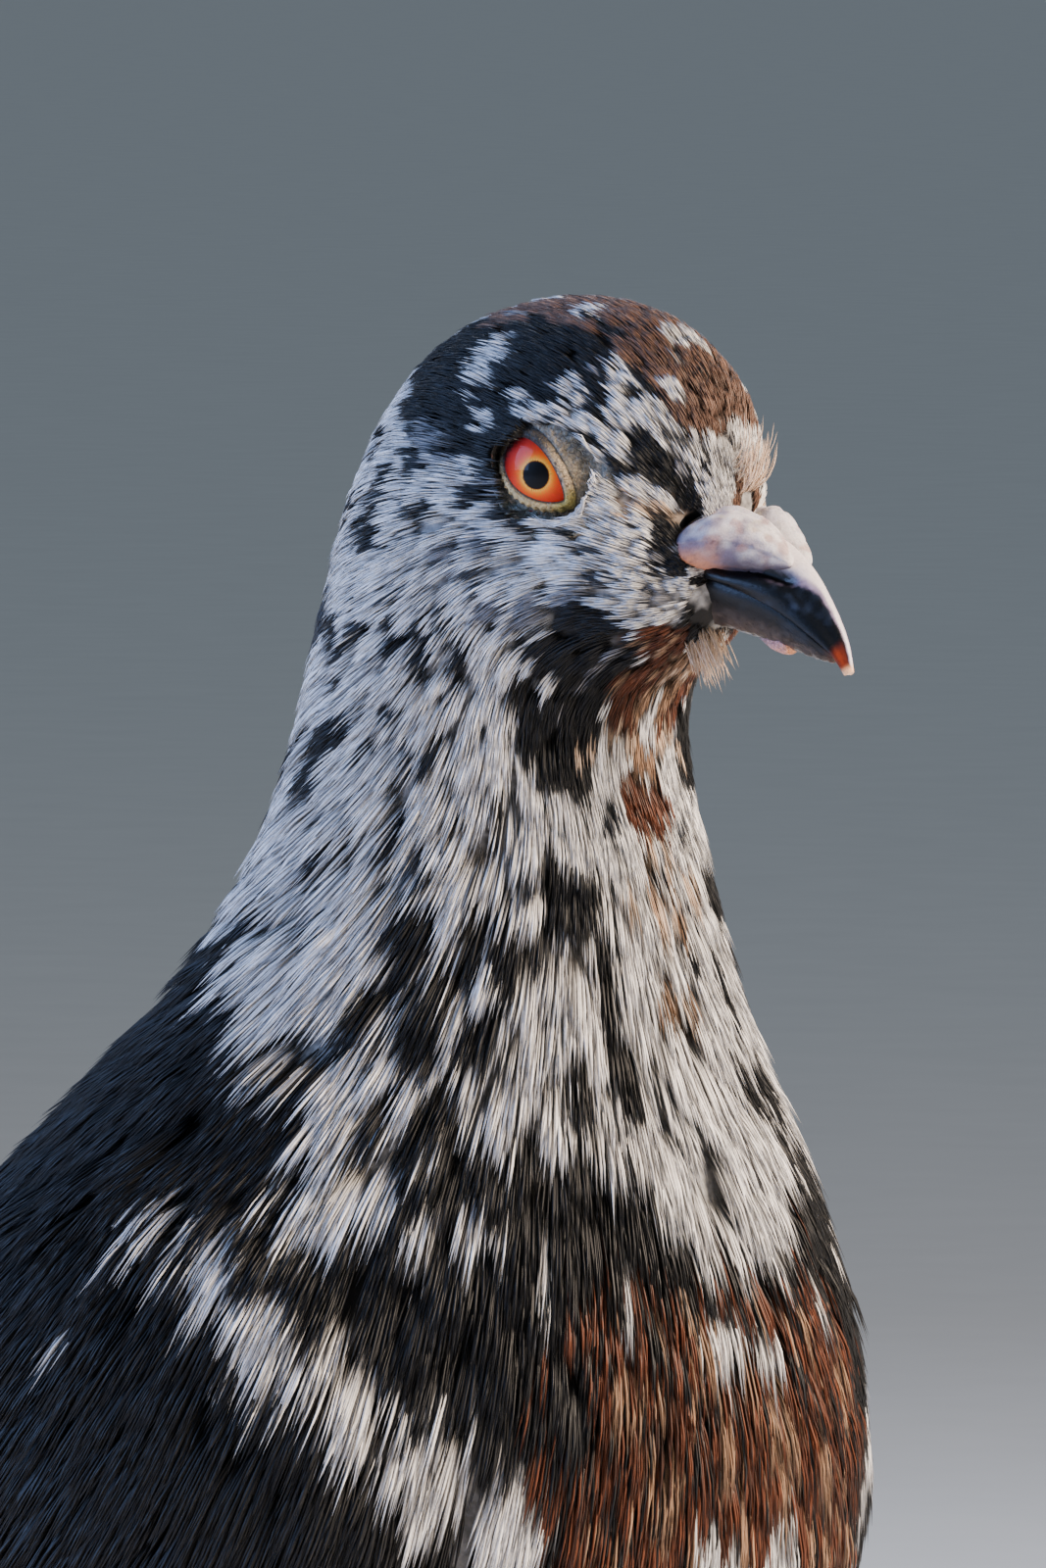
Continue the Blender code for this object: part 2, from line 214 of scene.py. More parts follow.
def mottle(points: Array, size: float, seed: int) -> Array:
    """Gives a smooth seeded noise.

    Args:
        points: places, in millimetres, with their three coordinates last.
        size: the width of one lump, in millimetres.
        seed: which noise.

    Returns:
        A value from 0 to 1 for each place.
    """
    cell = points / size + 512.0
    base = np.floor(cell).astype(np.int64)
    part = cell - base
    part = part * part * (3 - 2 * part)
    total = np.zeros(points.shape[:-1])
    for corner in itertools.product((0, 1), repeat=3):
        key = (base + np.array(corner)) @ HASH_PRIMES + seed * HASH_SEED_STEP
        key = (key ^ (key >> 13)) & 0x7FFFFFFF
        key = (key * 1103515245 + 12345) & 0x7FFFFFFF
        key = ((key ^ (key >> 11)) * 69069 + 1) & 0x7FFFFFFF
        share = np.prod(np.where(np.array(corner) == 1, part, 1 - part), axis=-1)
        total += share * ((key >> 7) & 0xFFFF) / 65535.0
    return total


def smooth_path(points: Array, at: Array) -> Array:
    """Reads a Catmull-Rom curve through a list of points.

    Args:
        points: the curve's points, one in each row.
        at: how far along, counted in points.

    Returns:
        One row for each value of at.
    """
    last = len(points) - 1
    near = np.clip(np.floor(at).astype(int), 0, last - 1)
    u = (at - near)[:, None]
    a, b, c, d = (points[np.clip(near + k, 0, last)] for k in (-1, 0, 1, 2))
    return 0.5 * (2 * b + (c - a) * u + (2 * a - 5 * b + 4 * c - d) * u**2 + (3 * b - a - 3 * c + d) * u**3)


def pick_only(*objects: Object) -> None:
    """Selects these objects and nothing else, and makes the first one active."""
    bpy.ops.object.select_all(action="DESELECT")
    for item in objects:
        item.select_set(True)
    bpy.context.view_layer.objects.active = objects[0]


def apply_modifier(item: Object, kind: str, **settings: object) -> None:
    """Adds a modifier with these settings and applies it at once."""
    modifier = item.modifiers.new(kind.lower(), kind)
    for name, value in settings.items():
        setattr(modifier, name, value)
    pick_only(item)
    bpy.ops.object.modifier_apply(modifier=modifier.name)


def edit_all(operator: Callable[..., object], **settings: object) -> None:
    """Runs one edit-mode operator on the whole of the active object."""
    bpy.ops.object.mode_set(mode="EDIT")
    bpy.ops.mesh.select_all(action="SELECT")
    operator(**settings)
    bpy.ops.object.mode_set(mode="OBJECT")


def joined_copy(name: str, nodes: Sequence[Object]) -> Object:
    """Joins copies of some solids into one new object and merges each one's loose triangles."""
    copies = []
    for node in nodes:
        copy = bpy.data.objects.new(name, node.data.copy())
        bpy.context.scene.collection.objects.link(copy)
        copies.append(copy)
    pick_only(*copies)
    if len(copies) > 1:
        bpy.ops.object.join()
    edit_all(bpy.ops.mesh.remove_doubles, threshold=0.00001)
    copies[0].name = name
    return copies[0]


def vertices_of(item: Object) -> Array:
    """Reads an object's vertices, in millimetres."""
    flat = np.empty(len(item.data.vertices) * 3, dtype=np.float32)
    item.data.vertices.foreach_get("co", flat)
    return flat.reshape(-1, 3).astype(float) / MM


def normals_of(item: Object) -> Array:
    """Reads the normal at each of an object's vertices."""
    flat = np.empty(len(item.data.vertices) * 3, dtype=np.float32)
    item.data.vertices.foreach_get("normal", flat)
    return flat.reshape(-1, 3)


def move_vertices(item: Object, places: Array) -> None:
    """Puts an object's vertices at new places, in millimetres."""
    item.data.vertices.foreach_set("co", (places * MM).astype(np.float32).ravel())
    item.data.update()


def give_attribute(item: Object, name: str, values: Array) -> None:
    """Stores a colour (four columns) or a vector (three) at each vertex."""
    is_colour = values.shape[1] == 4
    attribute = item.data.attributes.new(name, "FLOAT_COLOR" if is_colour else "FLOAT_VECTOR", "POINT")
    attribute.data.foreach_set("color" if is_colour else "vector", values.astype(np.float32).ravel())


def give_colour(item: Object, name: str, colours: Array) -> None:
    """Stores an opaque linear colour at each vertex."""
    give_attribute(item, name, np.column_stack([np.clip(colours, 0, 1), np.ones(len(colours))]))


def dress(item: Object, finish: Material) -> None:
    """Makes a finish the object's only one."""
    item.data.materials.clear()
    item.data.materials.append(finish)


# ---------------------------------------------------------------- the body's surface


class Surface:
    """The outer surface of a limb or of the whole body, read along its stations and round them."""

    def __init__(self, stations: Sequence[Station], hull: BVHTree, shift: float, middle_y: float = 0.0,
                 rows: int = 10, columns: int = 180, trim: Rule | None = None,
                 straight: int = 0) -> None:
        """Samples a hull.

        Args:
            stations: the planes across it.
            hull: the closed surface to read.
            shift: how far forward of the stations' own axis the model stands.
            middle_y: where the planes are centred sideways.
            rows: how many rows are read for each station.
            columns: how many points are read round each row.
            trim: how far inside the hull the surface runs, in millimetres, at some stations and angles.
            straight: how many first rows run straight on from the next one, past the hull's closed end.
        """
        count = (len(stations) - 1) * rows + 1
        self.s = np.linspace(0, len(stations) - 1, count)
        self.t = np.linspace(-180, 180, columns + 1)
        side_view = np.array([(*item.top, *item.bottom) for item in stations])
        ends = smooth_path(side_view, self.s)
        tops = np.column_stack([ends[:, 0] + shift, np.full(count, middle_y), ends[:, 1]])
        bottoms = np.column_stack([ends[:, 2] + shift, np.full(count, middle_y), ends[:, 3]])
        self.centres = (tops + bottoms) / 2
        ups = unit(tops - bottoms)
        turn = np.radians(self.t)
        rays = ups[:, None] * np.cos(turn)[None, :, None] + np.array([0, 1.0, 0]) * np.sin(turn)[None, :, None]
        reach = self._reach(hull, rays)
        reach[:straight] = reach[straight]
        if trim is not None:
            reach = reach - trim(self.s[:, None], self.t[None])
        for _ in range(2):
            reach = self._relaxed(reach)
        self.points = self.centres[:, None] + rays * reach[..., None]
        self.along = np.gradient(self.points, self.s, axis=0)
        wrapped = np.concatenate([self.points[:, -2:-1], self.points, self.points[:, 1:2]], axis=1)
        self.across = (wrapped[:, 2:] - wrapped[:, :-2]) / (2 * (self.t[1] - self.t[0]))
        outward = unit(np.cross(self.along, self.across))
        outward *= np.sign(np.sum(outward * rays, axis=-1, keepdims=True))
        for _ in range(2):
            outward = unit(self._relaxed(outward))
        self.outward = outward
        self.fields = np.concatenate([self.points, self.outward, self.along, self.across], axis=2)

    def _reach(self, hull: BVHTree, rays: Array, margin: float = 8.0) -> Array:
        """Finds how far the hull's outermost wall is along each ray from its row's centre."""
        reach = np.zeros(rays.shape[:2])
        for row, column in itertools.product(range(rays.shape[0]), range(rays.shape[1])):
            start, ray = self.centres[row] * MM, Vector(rays[row, column])
            first = hull.ray_cast(Vector(start), ray)[3]
            if first is None:
                reach[row, column] = reach[row - 1, column] if row else 1.0
                continue
            far = first + margin * MM
            back = hull.ray_cast(Vector(start) + ray * far, -ray, margin * MM + 0.0001)[3]
            reach[row, column] = (far - (back if back is not None else margin * MM)) / MM
        return reach

    @staticmethod
    def _relaxed(values: Array) -> Array:
        """Averages each value a little with its neighbours along and round the surface."""
        padded = np.concatenate([values[:1], values, values[-1:]])
        mixed = (padded[:-2] + 2 * values + padded[2:]) / 4
        wrapped = np.concatenate([mixed[:, -2:-1], mixed, mixed[:, 1:2]], axis=1)
        return (wrapped[:, :-2] + 2 * mixed + wrapped[:, 2:]) / 4

    def tree(self) -> BVHTree:
        """Makes a search tree of the surface, in metres."""
        rows, columns = self.points.shape[:2]
        index = np.arange(rows * columns).reshape(rows, columns)
        quads = np.stack([index[:-1, :-1], index[1:, :-1], index[1:, 1:], index[:-1, 1:]], axis=-1).reshape(-1, 4)
        return BVHTree.FromPolygons((self.points.reshape(-1, 3) * MM).tolist(), quads.tolist())

    def at(self, s: Array, t: Array) -> tuple[Array, Array, Array, Array]:
        """Reads places on the surface.

        Args:
            s: stations.
            t: angles, in degrees.

        Returns:
            The points, the outward directions, and how the point moves for a station and for a degree.
        """
        rows, columns = self.fields.shape[:2]
        r = np.clip(s / self.s[-1], 0, 1) * (rows - 1)
        c = ((t + 180) % 360) / 360 * (columns - 1)
        r0 = np.minimum(r.astype(int), rows - 2)
        c0 = np.minimum(c.astype(int), columns - 2)
        u, v = (r - r0)[..., None], (c - c0)[..., None]
        mix = (self.fields[r0, c0] * (1 - u) * (1 - v) + self.fields[r0 + 1, c0] * u * (1 - v)
               + self.fields[r0, c0 + 1] * (1 - u) * v + self.fields[r0 + 1, c0 + 1] * u * v)
        return mix[..., 0:3], unit(mix[..., 3:6]), mix[..., 6:9], mix[..., 9:12]


def hollow_lores(s: Array, t: Array, depth: float = 3.2, station: float = 1.45, angle: float = 62.0) -> Array:
    """Gives how far the face falls in between the eye and the cere, in millimetres."""
    return depth * np.exp(-(((s - station) / 0.9) ** 2) - ((np.abs(t) - angle) / 40) ** 2)


def build_hull(name: str, nodes: Sequence[Object], grain: float = 1.0) -> Object:
    """Wraps solids that meet with a hairline gap in one closed, smooth surface."""
    hull = joined_copy(name, nodes)
    apply_modifier(hull, "DISPLACE", strength=0.35 * MM, mid_level=0.0)
    apply_modifier(hull, "REMESH", mode="VOXEL", voxel_size=grain * MM, use_smooth_shade=True)
    apply_modifier(hull, "SMOOTH", factor=0.5, iterations=5)
    return hull


def tree_of(item: Object) -> BVHTree:
    """Makes an object's mesh ready for rays."""
    return BVHTree.FromObject(item, bpy.context.evaluated_depsgraph_get())


# ---------------------------------------------------------------- markings


class Tone(Enum):
    """The colours of the plumage."""

    WHITE = "#E9E7E6"
    # a warm pale; on the chin and throat it stands partly for warm sunlight on white feathers, a painted warm light
    CREAM = "#D2B8A0"
    GREY = "#85858A"
    SLATE = "#34383F"
    BLACK = "#0C0E12"
    BROWN = "#745748"
    RUST = "#62331B"
    TAN = "#94745A"


@dataclass(frozen=True)
class Patch:
    """An oval marking: its middle station and angle from the back, its half sizes, and how it leans down the body."""

    tone: Tone
    station: float
    angle: float
    half_stations: float
    half_degrees: float
    lean: float = 0.0


def patches(tone: Tone, *ovals: tuple[float, ...]) -> tuple[Patch, ...]:
    """Makes several patches of one tone."""
    return tuple(Patch(tone, *oval) for oval in ovals)


HEAD_PATCHES = (
    # crown: brown and speckled in front, black behind, with short white locks
    *patches(Tone.BLACK, (3.95, 38, 1.2, 25), (4.55, 28, 0.75, 19), (3.2, 24, 0.35, 8)),
    *patches(Tone.BROWN, (2.35, 12, 0.85, 18), (3.2, 9, 0.7, 14), (4.0, 11, 0.5, 8), (1.75, 8, 0.3, 14),
             (0.5, 9, 0.2, 6), (0.3, 15, 0.12, 5)),
    *patches(Tone.BLACK, (2.8, 12, 0.06, 2), (2.2, 8, 0.05, 1.5), (2.5, 29, 0.2, 2), (3.1, 20, 0.2, 2)),
    *patches(Tone.WHITE, (2.25, 22, 0.13, 4), (2.62, 3, 0.17, 7), (3.43, 12, 0.1, 6), (1.0, 3, 0.4, 9),
             (2.58, 52, 0.16, 15), (3.12, 47, 0.12, 10), (3.5, 53, 0.2, 4), (3.72, 45, 0.13, 4),
             (4.15, 51, 0.16, 4), (4.22, 32, 0.22, 10, 22), (4.9, 68, 0.45, 8), (5.45, 36, 0.25, 10)),
    *patches(Tone.GREY, (4.72, 52, 0.09, 8), (4.95, 48, 0.08, 8), (2.9, 33, 0.1, 3)),
    *patches(Tone.BLACK, (2.82, 42, 0.08, 10), (3.3, 61.5, 0.75, 2.5), (5.25, 68, 0.16, 3), (5.65, 27, 0.2, 5),
             (5.15, 52, 0.07, 6), (5.6, 44, 0.08, 6), (2.5, 36, 0.1, 3)),
    # above the bill; the black patch at station 1.0 and angle 60 is painted shade where the feathers meet the cere
    *patches(Tone.BLACK, (1.55, 50, 0.6, 10), (2.2, 52, 0.25, 9), (1.25, 30, 0.12, 7), (1.0, 60, 0.16, 16),
             (2.42, 66, 0.14, 6)),
    *patches(Tone.GREY, (1.7, 44.5, 0.3, 3.5, -8)),
    *patches(Tone.SLATE, (1.8, 36, 0.09, 3), (2.08, 38, 0.07, 3), (1.5, 33, 0.06, 2.5), (1.38, 26, 0.06, 4)),
    # the dark surround of the eye
    *patches(Tone.BLACK, (3.95, 71, 0.4, 15), (3.95, 92, 0.32, 5, -26), (4.58, 76, 0.13, 4.5), (3.1, 100, 0.28, 2)),
    *patches(Tone.GREY, (4.2, 76, 0.14, 4), (3.95, 66, 0.1, 2.5), (4.55, 95, 0.14, 7), (5.2, 88, 0.1, 8)),
    *patches(Tone.SLATE, (2.88, 105, 0.3, 3), (2.75, 121, 0.22, 4), (5.0, 104, 0.08, 6)),
    # the lores and the gape
    *patches(Tone.BLACK, (1.38, 86, 0.48, 15), (0.95, 99, 0.32, 8), (1.45, 107, 0.24, 5), (0.35, 112, 0.2, 6)),
    *patches(Tone.GREY, (1.15, 90, 0.12, 4), (1.25, 78, 0.08, 2), (1.5, 99, 0.08, 4), (1.45, 123, 0.4, 5)),
    *patches(Tone.CREAM, (1.68, 71, 0.62, 5, 15), (2.32, 80, 0.12, 6)),
    *patches(Tone.WHITE, (2.2, 104, 0.24, 15), (0.6, 120, 0.4, 7)),
    # the chin and throat
    *patches(Tone.BLACK, (0.35, 150, 0.42, 22), (3.45, 146, 1.35, 19), (5.0, 149, 1.3, 18), (6.0, 150, 0.75, 14)),
    *patches(Tone.RUST, (1.4, 152, 0.7, 14), (2.7, 166, 1.1, 7), (4.2, 171, 0.9, 5), (6.7, 176, 0.7, 6)),
    *patches(Tone.TAN, (1.3, 174, 0.9, 8), (3.0, 177, 1.2, 5), (1.05, 148, 0.08, 9), (1.6, 157, 0.32, 2.5),
             (5.3, 178, 0.6, 3), (2.05, 149, 0.28, 2.5), (2.3, 168, 0.25, 2), (3.4, 163, 0.4, 1.5)),
    # cream here is partly painted warm light on the throat
    *patches(Tone.CREAM, (4.72, 172, 0.36, 5), (5.6, 164, 0.36, 2), (5.8, 158, 0.26, 1.5), (2.2, 176, 0.4, 2)),
    *patches(Tone.WHITE, (4.85, 143, 0.32, 3), (5.3, 131.5, 0.42, 4), (4.1, 129.5, 0.26, 1.6), (4.95, 137, 0.2, 2)),
    *patches(Tone.GREY, (4.4, 124, 0.45, 3.5), (4.95, 116, 0.24, 4), (3.3, 126, 0.3, 3), (3.9, 152, 0.5, 1.5)),
)
NECK_PATCHES = (
    *patches(Tone.BLACK, (5.86, 109, 0.13, 7), (5.76, 100, 0.1, 4), (6.18, 91, 0.2, 4), (6.34, 95, 0.24, 4),
             (6.12, 113, 0.16, 4), (5.98, 47, 0.2, 9), (6.42, 80, 0.2, 6), (6.76, 62, 0.1, 6),
             (6.96, 51, 0.12, 10), (7.25, 108, 0.22, 4, -14), (7.15, 86, 0.12, 3), (7.6, 80, 0.16, 4),
             (7.62, 62, 0.22, 7, -10), (7.75, 131, 0.26, 3), (7.92, 88, 0.1, 3), (7.97, 53, 0.3, 6),
             (8.05, 61, 0.2, 3), (8.42, 98, 0.14, 4), (8.46, 109, 0.14, 3), (8.42, 150, 0.44, 8),
             (8.88, 126, 0.12, 5), (9.2, 138, 0.36, 7), (9.1, 127, 0.25, 3), (9.15, 110, 0.26, 8),
             (9.3, 160, 0.5, 2.4), (9.4, 55, 0.22, 6), (9.85, 104, 0.28, 4), (9.85, 132, 0.24, 5),
             (10.2, 163, 0.26, 3), (10.2, 152, 0.2, 5), (9.9, 120, 0.3, 4), (10.45, 127, 0.22, 4),
             (10.55, 115, 0.16, 4), (10.6, 100, 0.26, 3), (7.4, 97, 0.12, 3), (8.7, 74, 0.12, 3),
             (5.7, 6, 0.12, 5), (6.5, 13, 0.16, 4), (7.3, 23, 0.18, 4), (7.9, 6, 0.2, 3),
             (8.1, 33, 0.2, 4), (8.75, 17, 0.2, 4), (6.2, 29, 0.14, 4), (9.1, 36, 0.14, 4)),
    *patches(Tone.SLATE, (7.25, 166, 0.22, 3), (8.4, 140, 0.2, 3), (9.55, 117, 0.2, 4), (7.1, 30, 0.3, 8)),
    # cream here is partly painted warm light on the throat
    *patches(Tone.CREAM, (8.5, 176, 0.3, 3), (9.45, 176, 0.2, 3), (8.4, 168, 0.2, 2), (7.7, 178, 0.3, 2)),
    *patches(Tone.TAN, (8.55, 175, 0.12, 1.5), (9.5, 175, 0.12, 2)),
)
BODY_PATCHES = (
    *patches(Tone.WHITE, (11.12, 116, 0.2, 8), (11.12, 135, 0.12, 7), (11.12, 103, 0.09, 3), (11.26, 92, 0.07, 7),
             (11.9, 122, 0.6, 8, 42), (12.2, 138, 0.26, 11, 40), (11.5, 84, 0.05, 4), (12.0, 84, 0.06, 5),
             (11.42, 98, 0.12, 8),
             (11.65, 176, 0.14, 3), (12.45, 174, 0.12, 4), (13.0, 160, 0.14, 6), (12.9, 146, 0.1, 5),
             (11.3, 147, 0.1, 1.5), (11.45, 161, 0.12, 1.5), (12.7, 168, 0.14, 3)),
)
BIB_ANGLES = (0.0, 30.0, 45.0, 60.0, 75.0, 80.0, 88.0, 95.0, 101.0, 106.0, 115.0, 126.0, 134.0, 142.0, 152.0, 162.0,
              170.0, 180.0)
BIB_EDGES = (9.4, 9.4, 9.6, 9.8, 9.9, 10.0, 10.2, 10.6, 10.35, 10.8, 10.95, 10.65, 10.7, 10.75, 10.75, 10.95, 11.25,
             11.35)


@dataclass(frozen=True)
class Markings:
    """The pied pattern: white head and neck with dark flecks, a ragged bib, dark body and a rusty breast."""

    wobble: float = 2.6
    stations_of_wobble: float = 0.16
    degrees_of_wobble: float = 7.0

    def colours(self, s: Array, t: Array, points: Array) -> Array:
        """Gives the plumage's linear colour at some places.

        Args:
            s: stations.
            t: angles from the back.
            points: the same places, in millimetres.

        Returns:
            Red, green and blue for each place.
        """
        station = s + (mottle(points, self.wobble, 11) - 0.5) * self.stations_of_wobble
        angle = np.abs(t) + (mottle(points, self.wobble, 12) - 0.5) * self.degrees_of_wobble
        colour = np.tile(linear(Tone.WHITE.value), (len(s), 1))
        self._lay(colour, self._dark_below(station, angle, points), Tone.BLACK)
        front = ease(angle, 136, 166) * ease(station, 10.9, 11.7) * (1 - ease(station, 14.0, 15.5))
        streak = mottle(points * np.array([1, 1, 0.3]), 0.8, 15)
        fine = mottle(points * np.array([1, 1, 0.4]), 0.45, 19)
        self._lay(colour, (front > streak * 0.8 + 0.15) & (fine < 0.62), Tone.RUST)
        self._lay(colour, (front > 0.2) & (streak * front > 0.62), Tone.TAN)
        belly = ease(station, 13.6, 15.2) * ease(angle, 110, 140)
        self._lay(colour, belly > mottle(points, 7.0, 16), Tone.SLATE)
        self._lay(colour, (belly > 0.3) & (mottle(points, 5.0, 17) > 0.86), Tone.GREY)
        for patch in itertools.chain(HEAD_PATCHES, NECK_PATCHES, BODY_PATCHES):
            down = station - patch.station
            inside = np.hypot(down / patch.half_stations,
                              (angle - patch.angle - patch.lean * down) / patch.half_degrees)
            self._lay(colour, inside < 1, patch.tone)
        is_dark = colour[:, 1] < 0.1
        fleck = mottle(points, 1.5, 18)
        self._lay(colour, ~is_dark & (fleck > 0.88) & (station > 1.5), Tone.BLACK)
        self._lay(colour, is_dark & (fleck < 0.1) & (station > 1) & (station < 6.5), Tone.GREY)
        grain = mottle(points, 0.9, 21)[:, None]
        return colour * (0.78 + 0.42 * grain)

    @staticmethod
    def _lay(colour: Array, where: Array, tone: Tone) -> None:
        """Paints one tone over the colours where asked."""
        colour[where] = linear(tone.value)

    @staticmethod
    def _dark_below(station: Array, angle: Array, points: Array) -> Array:
        """Tells which places lie past the bib's ragged edge."""
        edge = np.interp(angle, BIB_ANGLES, BIB_EDGES)
        return station > edge + (mottle(points, 2.6, 14) - 0.5) * 0.6


# ---------------------------------------------------------------- blades and tufts


STRAND = np.array([(1.0, -0.5), (0.0, 1.0), (-1.0, -0.5)])
VANE = np.array([(1.0, -0.45), (0.5, 0.1), (0.09, 0.25), (0.0, 0.7), (-0.09, 0.25), (-0.5, 0.1), (-1.0, -0.45),
                 (0.0, -0.35)])
PATCH_SIZE = 0.003
UNWRAP_SHARE = 0.96
UNWRAP_MARGIN = 0.02


@dataclass
class Blades:
    """Many thin closed blades of one kind, each with its root and tip drawn to a point."""

    centres: Array
    sides: Array
    ups: Array
    halves: Array
    heights: Array
    section: Array
    colours: Array
    spots: Array
    spot_half: float = PATCH_SIZE / 2

    def mesh_arrays(self) -> tuple[Array, Array, Array, Array, Array]:
        """Works out the blades' vertices, triangles, colours, unwrap places and barb coordinates."""
        count, rings = self.halves.shape
        ring = (self.centres[:, 1:-1, None]
                + self.sides[:, 1:-1, None] * (self.halves[:, 1:-1, None] * self.section[:, 0])[..., None]
                + self.ups[:, 1:-1, None] * (self.heights[:, 1:-1, None] * self.section[:, 1])[..., None])
        corners = len(self.section)
        points = np.concatenate([self.centres[:, :1], ring.reshape(count, -1, 3), self.centres[:, -1:]], axis=1)
        order = np.concatenate([[0], np.repeat(np.arange(1, rings - 1), corners), [rings - 1]])
        across = np.concatenate([[0.0], np.tile(self.section[:, 0], rings - 2), [0.0]])
        colours = self.colours[:, order]
        part = order / (rings - 1)
        spots = np.stack([self.spots[:, :1] + across * self.spot_half,
                          self.spots[:, 1:] + np.tile((part - 0.5) * PATCH_SIZE, (count, 1))], axis=2)
        run = np.concatenate([np.zeros((count, 1)),
                              np.cumsum(np.linalg.norm(np.diff(self.centres, axis=1), axis=2), axis=1)], axis=1)
        barbs = np.stack([across * self.halves[:, order], run[:, order],
                          np.tile(np.arange(count)[:, None] * GOLDEN % 1, (1, len(order)))], axis=2)
        each = points.shape[1]
        triangles = self._pattern(rings - 2, corners)[None] + (np.arange(count) * each)[:, None, None]
        return (points.reshape(-1, 3), triangles.reshape(-1, 3), colours.reshape(-1, 3), spots.reshape(-1, 2),
                barbs.reshape(-1, 3))

    @staticmethod
    def _pattern(rings: int, corners: int) -> Array:
        """Lists one blade's triangles."""
        faces = []
        last = 1 + rings * corners
        for j in range(corners):
            k = (j + 1) % corners
            faces.append((0, 1 + j, 1 + k))
            faces.append((last, 1 + (rings - 1) * corners + k, 1 + (rings - 1) * corners + j))
            for r in range(rings - 1):
                a, b = 1 + r * corners + j, 1 + r * corners + k
                faces.append((a, a + corners, b + corners))
                faces.append((a, b + corners, b))
        return np.array(faces)


@dataclass
class Coat:
    """One piece of plumage: blades joined in a mesh with their colours and their places on the unwrap."""

    name: str
    material: Material
    batches: list[Blades] = field(default_factory=list)

    def add(self, blades: Blades) -> None:
        """Adds a batch of blades."""
        self.batches.append(blades)

    def finish(self) -> None:
        """Makes the mesh, rides it on the body and reports it."""
        parts, offset = [], 0
        for batch in self.batches:
            points, triangles, colours, spots, barbs = batch.mesh_arrays()
            parts.append((points, triangles + offset, colours, spots, barbs))
            offset += len(points)
        points, triangles, colours, spots, barbs = (np.concatenate(column) for column in zip(*parts))
        mesh = bpy.data.meshes.new(self.name)
        mesh.vertices.add(len(points))
        mesh.vertices.foreach_set("co", (points * MM).astype(np.float32).ravel())
        mesh.loops.add(triangles.size)
        mesh.loops.foreach_set("vertex_index", triangles.astype(np.int32).ravel())
        mesh.polygons.add(len(triangles))
        mesh.polygons.foreach_set("loop_start", np.arange(0, triangles.size, 3, dtype=np.int32))
        mesh.update(calc_edges=True)
        mesh.shade_smooth()
        layer = mesh.uv_layers.new(name="OFBake")
        layer.uv.foreach_set("vector", spots[triangles.ravel()].astype(np.float32).ravel())
        piece = bpy.data.objects.new(self.name, mesh)
        bpy.context.scene.collection.objects.link(piece)
        give_colour(piece, "plumage", colours)
        give_attribute(piece, "barb", barbs)
        mesh.materials.append(self.material)
        settle(piece)


def settle(piece: Object, replaced: Sequence[str] = ()) -> None:
    """Lets a finished piece ride on the body and stand for its solids, and reports it."""
    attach(piece, BODY)
    if replaced:
        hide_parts(*replaced)
    LOG.info("%s: %d faces", piece.name, len(piece.data.polygons))


@dataclass(frozen=True)
class Growth:
    """How the contour feathers grow at one station, in millimetres."""

    station: str
    length: float
    depth: float
    strand_half: float
    fan_half: float
    spacing: float


GROWTH = (
    Growth("bill root", 1.9, 0.45, 0.046, 0.40, 0.60),
    Growth("lores", 2.5, 0.60, 0.052, 0.50, 0.72),
    Growth("brow", 3.4, 0.80, 0.058, 0.64, 0.86),
    Growth("eye", 4.0, 0.90, 0.062, 0.70, 0.94),
    Growth("crown", 4.8, 1.00, 0.066, 0.78, 1.04),
    Growth("occiput", 6.4, 1.30, 0.074, 0.95, 1.24),
    Growth("nape", 8.4, 1.70, 0.086, 1.20, 1.55),
    Growth("upper neck", 9.6, 2.10, 0.100, 1.40, 1.80),
    Growth("neck root", 12.0, 2.60, 0.118, 1.70, 2.20),
    Growth("shoulder", 13.0, 2.80, 0.128, 1.85, 2.40),
    Growth("breast", 14.0, 3.00, 0.140, 2.00, 2.60),
    Growth("keel", 17.0, 3.40, 0.210, 2.50, 3.40),
    Growth("midriff", 20.0, 3.60, 0.280, 2.90, 4.30),
    Growth("vent", 22.0, 3.40, 0.320, 3.20, 4.80),
    Growth("tail root", 20.0, 2.20, 0.300, 3.00, 4.40),
    Growth("tail base", 18.0, 1.20, 0.300, 2.80, 4.20),
    Growth("tail tip", 16.0, 0.50, 0.300, 2.60, 4.20),
)


def growth_at(s: Array, what: str) -> Array:
    """Reads one measure of the feathers' growth at some stations."""
    return np.interp(s, [place_of(g.station) for g in GROWTH], [getattr(g, what) for g in GROWTH])


